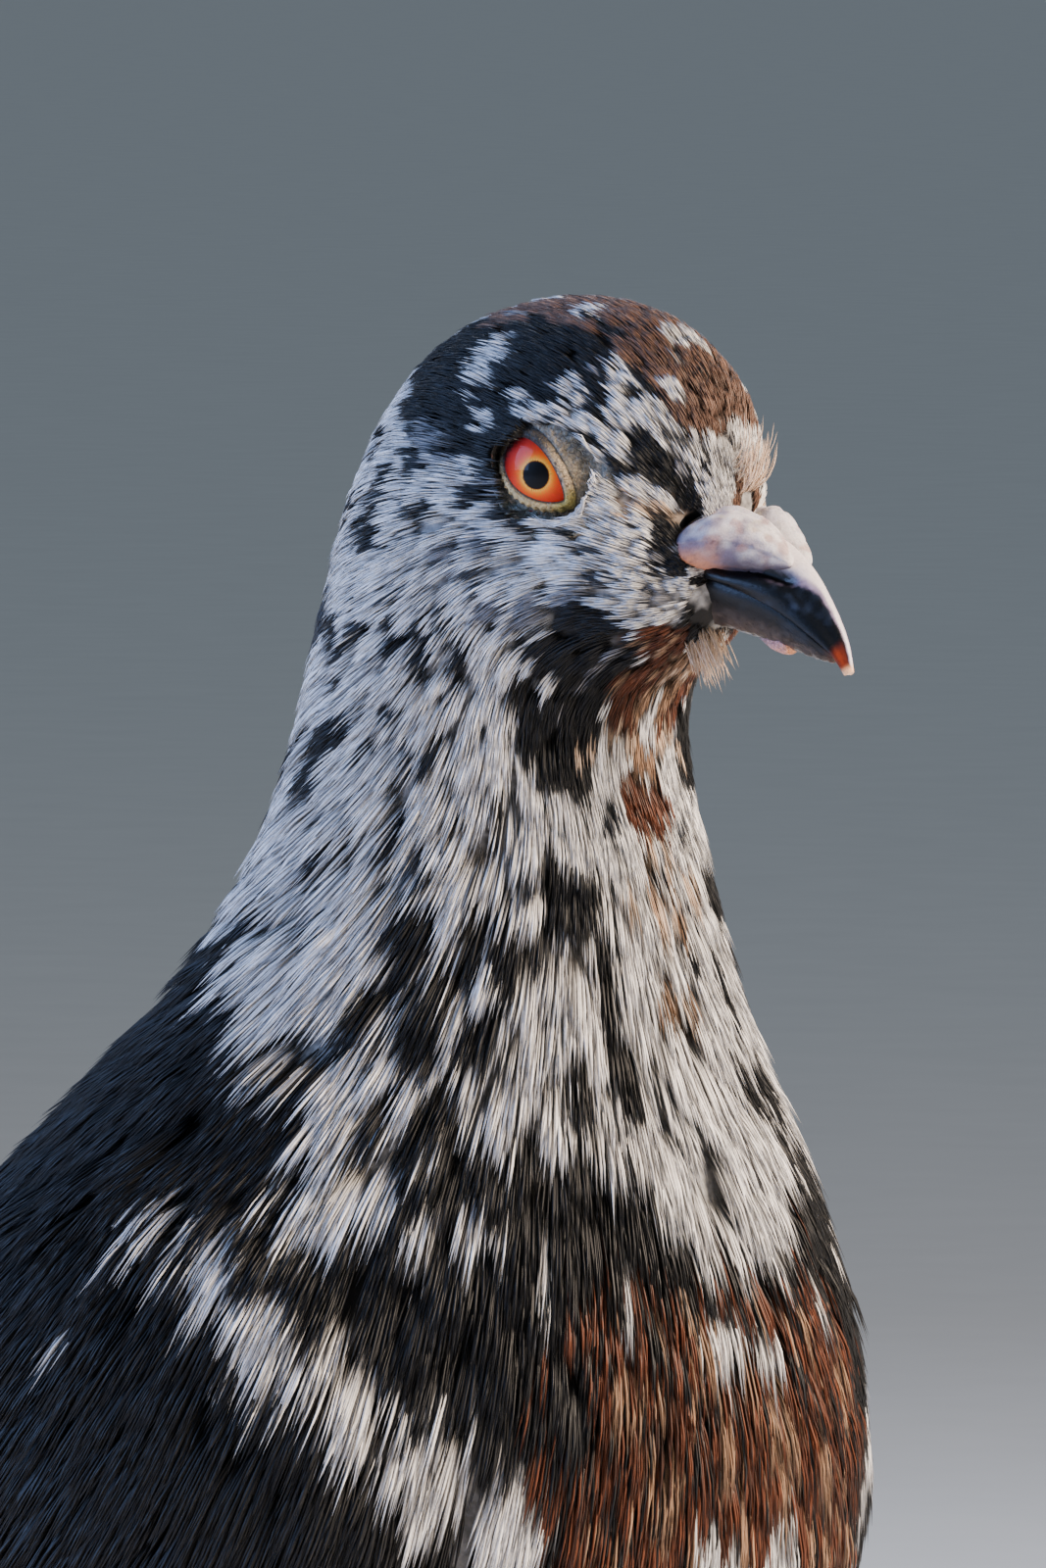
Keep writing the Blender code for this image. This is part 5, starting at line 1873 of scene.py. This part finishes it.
@dataclass
class Bill:
    """The two mandibles, the chalky swellings over the nostrils and the soft skin under the chin."""

    bird: Bird
    horn: Material
    chalk: Material
    soft: Material

    def build(self) -> None:
        """Makes each piece of the bill."""
        self._upper()
        self._lower()
        for side, word in SIDES:
            self._swelling(side, word)
        self._chin_skin()

    def _mandible(self, name: str, sections: Sequence[BillSection], low: float,
                  detail: Rule) -> tuple[Object, Array, Array]:
        """Pulls a ball through a mandible's sections.

        Args:
            name: the piece's name.
            sections: the mandible's sections from its root.
            low: how far below its middle a section is widest, as a share of half its height.
            detail: gives how far the surface stands out, in millimetres, for the part of the way to the tip and
                the angle from the top.

        Returns:
            The piece, and each vertex's part of the way and angle from the top.
        """
        table = np.array([(*item.top, *item.bottom, item.half) for item in sections])
        marks = {}

        def shape(part: Array, around: Array) -> Array:
            """Gives points on the mandible, and keeps how far along and round they lie."""
            run = np.clip((part - 0.06) / 0.9, 0, 1)
            cap = np.sqrt(np.clip(np.minimum(part / 0.06, (1 - part) / 0.04), 0, 1))
            row = smooth_path(table, run * (len(sections) - 1))
            top = np.column_stack([row[:, 0] + self.bird.shift, 0 * part, row[:, 1]])
            bottom = np.column_stack([row[:, 2] + self.bird.shift, 0 * part, row[:, 3]])
            up = unit(top - bottom)
            tall = np.linalg.norm(top - bottom, axis=1) / 2
            across = np.sign(np.sin(around)) * np.abs(np.sin(around)) ** 1.2 * cap
            rise = np.cos(around) * cap - low * across**2
            place = (top + bottom) / 2 + up * (tall * rise)[:, None]
            place[:, 1] += row[:, 4] * across
            bulge = detail(run, np.abs(np.degrees(around)))
            away = up * (np.cos(around) * cap)[:, None] + np.outer(across, [0, 1.0, 0])
            marks.update(run=run, angle=np.abs(np.degrees(around)))
            return place + unit(away) * (bulge * cap)[:, None]

        return pulled_ball(name, 80, 96, shape), marks["run"], marks["angle"]

    def _upper(self) -> None:
        """Makes the upper mandible, with its ridge, nostril slits and hooked pale tip. Its colours carry painted
        bluish highlights on the sides, a painted pale highlight along the ridge and painted shade in the nostril
        slits.
        """

        def slit_at(run: Array) -> Array:
            """Gives the nostril's angle along the bill."""
            return 84 - 78 * run

        def detail(run: Array, angle: Array) -> Array:
            """Gives the height of the nostril, its swelling and the bill's edge."""
            hollow = -0.16 * bell(angle, 52, 16) * ease(run, 0.42, 0.55) * (1 - ease(run, 0.8, 1.0))
            slit = -0.75 * bell(angle, slit_at(run), 8) * ease(run, 0.1, 0.2) * (1 - ease(run, 0.42, 0.52))
            swell = 0.22 * bell(angle - slit_at(run), 24, 12) * (1 - ease(run, 0.4, 0.6))
            edge = 0.1 * bell(angle, 112, 8) * (1 - ease(run, 0.75, 0.95))
            return hollow + slit + swell + edge

        piece, run, angle = self._mandible("upper_mandible", UPPER_SECTIONS, 0.95, detail)
        points = vertices_of(piece)
        slate, blue_highlight, pale, mauve, brown, tip, black = hexes(
            "#0B0E13", "#2A3447", "#D9D0D4", "#8A7E98", "#6E2A18", "#E2B28C", "#030304")
        # painted bluish highlights in streaks and blotches along the sides
        streak = mottle(points * np.array([0.4, 1, 0.6]), 0.55, 51)
        colour = blend(slate, blue_highlight, ease(streak, 0.5, 0.85) * ease(run, 0.3, 0.5) * (1 - ease(run, 0.75, 0.86)))
        colour = blend(colour, blue_highlight * 0.55, ease(mottle(points, 0.8, 55), 0.6, 0.85) * 0.5)
        # a painted pale highlight along the ridge, fading through mauve
        half = np.interp(run, (0, 0.42, 0.5, 0.6, 0.8, 1), (62, 56, 42, 19, 14, 20))
        half = half + 9 * (mottle(points, 0.5, 52) - 0.5)
        colour = blend(colour, mauve, 1 - ease(angle, half, half + 9))
        colour = blend(colour, pale, 1 - ease(angle, half * 0.6, half * 0.95))
        colour = blend(colour, brown, ease(run, 0.8, 0.88) * ease(angle, 20, 45))
        colour = blend(colour, tip, ease(run, 0.93, 0.98))
        # the nostril slits painted black, a painted shade in the recess
        slit = bell(angle, slit_at(run), 11) * ease(run, 0.08, 0.18) * (1 - ease(run, 0.44, 0.54))
        colour = blend(colour, black, slit * 1.4)
        tint(piece, colour, self.horn)
        settle(piece, ("bill_upper",))

    def _lower(self) -> None:
        """Makes the lower mandible, with its rough pale underside and painted bluish highlights on its sides."""

        def detail(run: Array, angle: Array) -> Array:
            """Gives the height of the bill's lower edge."""
            return 0.1 * bell(angle, 100, 14) * (1 - run)

        piece, run, angle = self._mandible("lower_mandible", LOWER_SECTIONS, -0.8, detail)
        points = vertices_of(piece)
        rough_run = 0.12 * (mottle(points, 0.45, 56) - 0.4)[:, None] * ease(angle, 105, 130)[:, None]
        move_vertices(piece, points - np.array([0, 0, 1.0]) * rough_run * 2)
        slate, blue_highlight, rough, tip = hexes("#090B0F", "#141A23", "#4E4644", "#4A3028")
        # painted bluish highlights in streaks on the sides
        colour = blend(slate, blue_highlight, ease(mottle(points * np.array([0.4, 1, 0.6]), 0.6, 53), 0.5, 0.85)
                       * ease(angle, 60, 90))
        under = ease(angle, 112, 140) * (0.25 + 0.85 * mottle(points, 0.4, 54))
        colour = blend(colour, rough, under * (1 - 0.4 * run))
        colour = blend(colour, tip, ease(run, 0.88, 1.0) * 0.8)
        tint(piece, colour, self.horn)
        settle(piece, ("bill_lower",))

    def _swelling(self, side: int, word: str) -> None:
        """Makes one chalky swelling: round and free behind, drawn out forwards, leaning on its fellow."""
        table = np.array([
            (20.9, 4.3, 204.9, 2.0, 2.3), (22.6, 3.85, 205.1, 2.45, 2.9), (25.0, 3.0, 205.35, 2.7, 2.85),
            (27.4, 2.15, 205.15, 2.5, 2.2), (29.5, 1.55, 204.4, 1.95, 1.6), (31.5, 1.1, 203.4, 1.1, 1.0)])
        marks = {}

        def shape(part: Array, around: Array) -> Array:
            """Gives points on the cere's swelling."""
            run = (1 - np.cos(part * math.pi)) / 2
            row = smooth_path(table, run * (len(table) - 1))
            swell = np.sin(part * math.pi) ** 0.62
            centre = np.column_stack([row[:, 0] + self.bird.shift, side * row[:, 1], row[:, 2]])
            rise, wide = np.sin(around), np.cos(around)
            out = np.array([0.28, side * 0.96, 0.0])
            up = np.array([0.22, -side * 0.1, 0.97])
            flatter = np.where(rise < 0, 0.92, 1.0) * np.where(wide < 0, 1.15, 1.0)
            away = np.outer(rise, up) + np.outer(wide, out)
            reach = np.outer(row[:, 3] * rise, up) + np.outer(row[:, 4] * wide, out)
            place = centre + reach * (swell * flatter)[:, None]
            rough = (0.42 * (mottle(place, 2.1, 61) - 0.5) + 0.2 * (mottle(place, 0.8, 62) - 0.5)
                     + 0.1 * (mottle(place, 0.34, 63) - 0.5))
            marks.update(run=run, rise=rise)
            return place + unit(away) * (rough * swell)[:, None]

        piece = pulled_ball(f"cere_{word}_swelling", 96, 80, shape)
        points = vertices_of(piece)
        lilac, chalk, warm, pink, shade, cream = hexes(
            "#6F657A", "#D0CBCF", "#B97C60", "#96706C", "#453E4E", "#BFB388")
        run, rise = marks["run"], marks["rise"]
        # Chalk pales towards the top and the front: partly the cere's own powder, partly painted light on its upper
        # side.
        powder_and_top_light = ease(0.5 * rise + 1.1 * (mottle(points, 0.9, 64) - 0.5) + 1.1 * run, 0.15, 1.25)
        colour = blend(lilac, chalk, powder_and_top_light)
        colour = blend(colour, pink, ease(mottle(points, 0.8, 65), 0.58, 0.8) * 0.6)
        spots = ease(mottle(points, 0.6, 69), 0.7, 0.85) * ease(rise, 0.3, 0.7)
        colour = blend(colour, cream, spots * (1 - run) * 0.7)
        colour = blend(colour, warm, ease(-rise, -0.15, 0.75) * (1 - ease(run, 0.28, 0.55)))
        colour = blend(colour, shade, ease(mottle(points, 0.32, 66), 0.6, 0.9) * 0.45 * (0.4 + 0.6 * (1 - powder_and_top_light)))
        colour = blend(colour, shade, ease(-rise, 0.1, 0.8) * ease(run, 0.4, 0.62) * 0.85)
        tint(piece, colour, self.chalk)
        settle(piece, (f"cere_{word}",))

    def _chin_skin(self) -> None:
        """Makes the small pink fold of bare skin under the lower mandible."""
        middle = np.array([28.9 + self.bird.shift, 0.0, 196.55])
        heading = unit(np.array([[1.0, 0, -0.26]]))[0]
        up = np.array([0.25, 0, 0.97])

        def shape(part: Array, around: Array) -> Array:
            """Gives points on the chin's fold of skin."""
            run = -np.cos(part * math.pi)
            swell = np.sin(part * math.pi) ** 0.8 * (0.72 + 0.28 * run)
            place = (middle + np.outer(2.1 * run, heading) + np.outer(swell * np.sin(around) * 1.05, up)
                     + np.outer(1.15 * swell * np.cos(around), [0, 1.0, 0]))
            return place + unit(place - middle) * (0.2 * (mottle(place, 0.5, 67) - 0.5))[:, None]

        piece = pulled_ball("chin_skin", 40, 32, shape)
        points = vertices_of(piece)
        pink, orange, mauve = hexes("#B98680", "#D08A60", "#8E7C80")
        run = (points - middle) @ heading / 2.1
        colour = blend(mauve, pink, ease(run, -0.8, 0.1))
        colour = blend(colour, orange, ease(run + 0.5 * (mottle(points, 0.6, 68) - 0.5), 0.3, 0.9))
        tint(piece, colour, self.soft)
        settle(piece)


@dataclass
class Foot:
    """One bare leg: shank, toes with their scutes and pads, and claws."""

    bird: Bird
    side: int
    skin: Material
    horn: Material
    foot_x: float = -43.0
    scute_mm: float = 1.55
    pad_mm: float = 2.7

    def build(self) -> None:
        """Makes the leg's skin in one piece, and its four claws."""
        word = dict(SIDES)[self.side]
        toes = ("inner", "middle", "outer", "hind")
        names = [f"shank_{word}", *(f"toe_{toe}_{word}" for toe in toes)]
        leg = build_hull(f"leg_{word}", [self.bird.nodes[name] for name in names], 0.5)
        apply_modifier(leg, "SUBSURF", levels=1, render_levels=1)
        points = vertices_of(leg)
        normals = normals_of(leg)
        centre = np.array([self.foot_x + self.bird.shift, self.side * FOOT_Y])
        reach = np.hypot(*(points[:, :2] - centre).T)
        is_toe = 1 - ease(points[:, 2], 5.5, 8.5)
        run = np.where(is_toe > 0.5, reach, points[:, 2])
        step = (run / self.scute_mm) % 1
        step = np.where(is_toe > 0.5, step, 1 - step)
        plate = 0.26 * step**1.6 - 0.2 * bell(step, 0, 0.1) - 0.2 * bell(step, 1, 0.05)
        facing = np.where(is_toe > 0.5, ease(normals[:, 2], 0.0, 0.5), ease(normals[:, 0], 0.0, 0.5))
        net = 0.16 * (mottle(points, 0.8, 71) - 0.5)
        pads = 0.3 * np.abs(np.sin(math.pi * reach / self.pad_mm)) * ease(-normals[:, 2], 0.1, 0.6) * is_toe
        moved = points + normals * (plate * facing + net * (1 - facing) + pads)[:, None]
        moved[:, 2] = np.maximum(moved[:, 2], 0.0)
        move_vertices(leg, moved)
        red, pale, dusk, grey = hexes("#A53B34", "#D08478", "#5E2422", "#8E7A70")
        colour = blend(red, pale, facing * ease(step, 0.55, 0.95) * 0.7)
        colour = blend(colour, dusk, facing * bell(step, 0, 0.16) * 0.8)
        colour = blend(colour, pale, ease(mottle(points, 0.8, 72), 0.55, 0.8) * (1 - facing) * 0.6)
        colour = blend(colour, grey, ease(mottle(points, 3.0, 73), 0.62, 0.9) * 0.35)
        colour = blend(colour, grey, ease(-normals[:, 2], 0.3, 0.9) * 0.5)
        tint(leg, colour, self.skin)
        settle(leg, names)
        for toe in toes:
            self._claw(f"claw_{toe}_{word}")

    def _claw(self, name: str) -> None:
        """Rounds one claw's solid into a smooth horny claw."""
        claw = joined_copy(f"{name}_horn", [self.bird.nodes[name]])
        pick_only(claw)
        edit_all(bpy.ops.mesh.tris_convert_to_quads)
        apply_modifier(claw, "SUBSURF", levels=2, render_levels=2)
        bpy.ops.object.shade_smooth()
        points = vertices_of(claw)
        black, brown = hexes("#1A1718", "#5A4A42")
        low, high = points[:, 2].min(), points[:, 2].max()
        tint(claw, blend(black, brown, ease(points[:, 2], low, high)), self.horn)
        settle(claw, (name,))


# ---------------------------------------------------------------- the studio


@dataclass
class Studio:
    """A pale floor, soft light and the camera."""

    bird: Bird

    def build(self) -> None:
        """Sets the floor, the world, the lamps and the camera."""
        self._floor()
        self._world()
        low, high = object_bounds()
        middle = Vector(((low[0] + high[0]) / 2, 0, (low[2] + high[2]) / 2))
        self._lamp("key", (0.95, 0.3, 0.6), 0.4, 41.0, "#FFE8D0", middle)
        self._lamp("fill", (-0.6, -0.85, 0.4), 0.7, 21.0, "#9DBEFF", middle)
        self._lamp("back", (-0.5, 0.75, 0.8), 0.6, 8.0, "#DCE8FF", middle)
        self._camera()

    def _floor(self) -> None:
        """Lays the floor."""
        pick_only(next(iter(self.bird.nodes.values())))
        bpy.ops.mesh.primitive_plane_add(size=120.0, location=(0, 0, 0))
        floor = bpy.context.active_object
        floor.name = "floor"
        material, tree, shader = new_material("pale_matt_paint")
        place = add(tree, "TexCoord").outputs["Object"]
        noise = add(tree, "TexNoise", {"Vector": place, "Scale": 40.0, "Detail": 4.0})
        colour = ramp(tree, noise.outputs["Fac"], ((0.3, "#E2E2E0"), (0.7, "#E6E6E4")))
        put(tree, shader, {"Base Color": colour, "Roughness": 0.9})
        floor.data.materials.append(material)
        floor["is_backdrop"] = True

    @staticmethod
    def _world() -> None:
        """Gives an even pale surround."""
        world = bpy.data.worlds.new("surround")
        world.use_nodes = True
        bpy.context.scene.world = world
        surround = world.node_tree.nodes["Background"]
        put(world.node_tree, surround, {"Color": rgba("#AAB8C6"), "Strength": 0.42})

    @staticmethod
    def _lamp(name: str, place: tuple[float, float, float], size: float, power: float, code: str,
              target: Vector) -> None:
        """Hangs one soft square lamp that faces the bird."""
        lamp = bpy.data.lights.new(name, "AREA")
        lamp.shape = "SQUARE"
        lamp.size = size
        lamp.energy = power
        lamp.color = linear(code)
        holder = bpy.data.objects.new(name, lamp)
        bpy.context.scene.collection.objects.link(holder)
        holder.location = Vector(place) + target
        holder.rotation_euler = (target - holder.location).to_track_quat("-Z", "Y").to_euler()

    def _camera(self, azimuth: float = 40.0, elevation: float = 3.0, distance: float = 1.8,
                height_in_view: float = 0.1379) -> None:
        """Sets the camera on the head and breast from the bird's right front.

        Args:
            azimuth: how far it is turned from square on to the right side, in degrees.
            elevation: how far it is raised, in degrees.
            distance: from the bird, in metres.
            height_in_view: the height of what it sees, in metres.
        """
        camera = bpy.data.cameras.new("camera")
        holder = bpy.data.objects.new("camera", camera)
        bpy.context.scene.collection.objects.link(holder)
        bpy.context.scene.camera = holder
        turn, lift = math.radians(azimuth), math.radians(elevation)
        back = Vector((math.sin(turn) * math.cos(lift), -math.cos(turn) * math.cos(lift), math.sin(lift)))
        target = Vector((self.bird.shift * MM, 0, 0.1832))
        holder.location = target + back * distance
        holder.rotation_euler = (-back).to_track_quat("-Z", "Y").to_euler()
        camera.sensor_width = 36.0
        camera.lens = camera.sensor_width * distance / height_in_view
        camera.clip_start = 0.05


def main() -> None:
    """Builds the bird in order and reports each piece."""
    logging.basicConfig(level=logging.INFO, format="%(name)s: %(message)s", stream=sys.stdout)
    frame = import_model()
    bird = Bird(frame["nodes"])
    bird.read()
    Skin(bird, DownySkin().build()).build()
    contour, vane = ContourFeather().build(), VaneFeather().build()
    Plumage(bird, contour).build()
    for side, _ in SIDES:
        Wing(bird, side, vane).build()
    Tail(bird, vane).build()
    Thighs(bird, contour).build()
    horn = PaintedFinish("bill_horn", 0.3, 1.34, 0.25, 0.05, contrast=0.15).build()
    bare = PaintedFinish("bare_eyelid_skin", 0.58, 1.45, 0.24, 0.16, contrast=0.55, subsurface=0.1,
                         cells=True).build()
    chalk = PaintedFinish("chalky_cere_skin", 0.7, 1.45, 0.18, 0.09, contrast=0.18, subsurface=0.1).build()
    scutes = PaintedFinish("scaly_leg_skin", 0.48, 1.5, 0.3, 0.06, contrast=0.15, cells=True).build()
    iris = WetIris().build()
    for place in bird.eyes:
        Eye(bird, place, iris, bare).build()
    Bill(bird, horn, chalk, bare).build()
    grow_wisps(bird, contour)
    for side, _ in SIDES:
        Foot(bird, side, scutes, horn).build()
    Studio(bird).build()


if __name__ == "__main__":
    main()
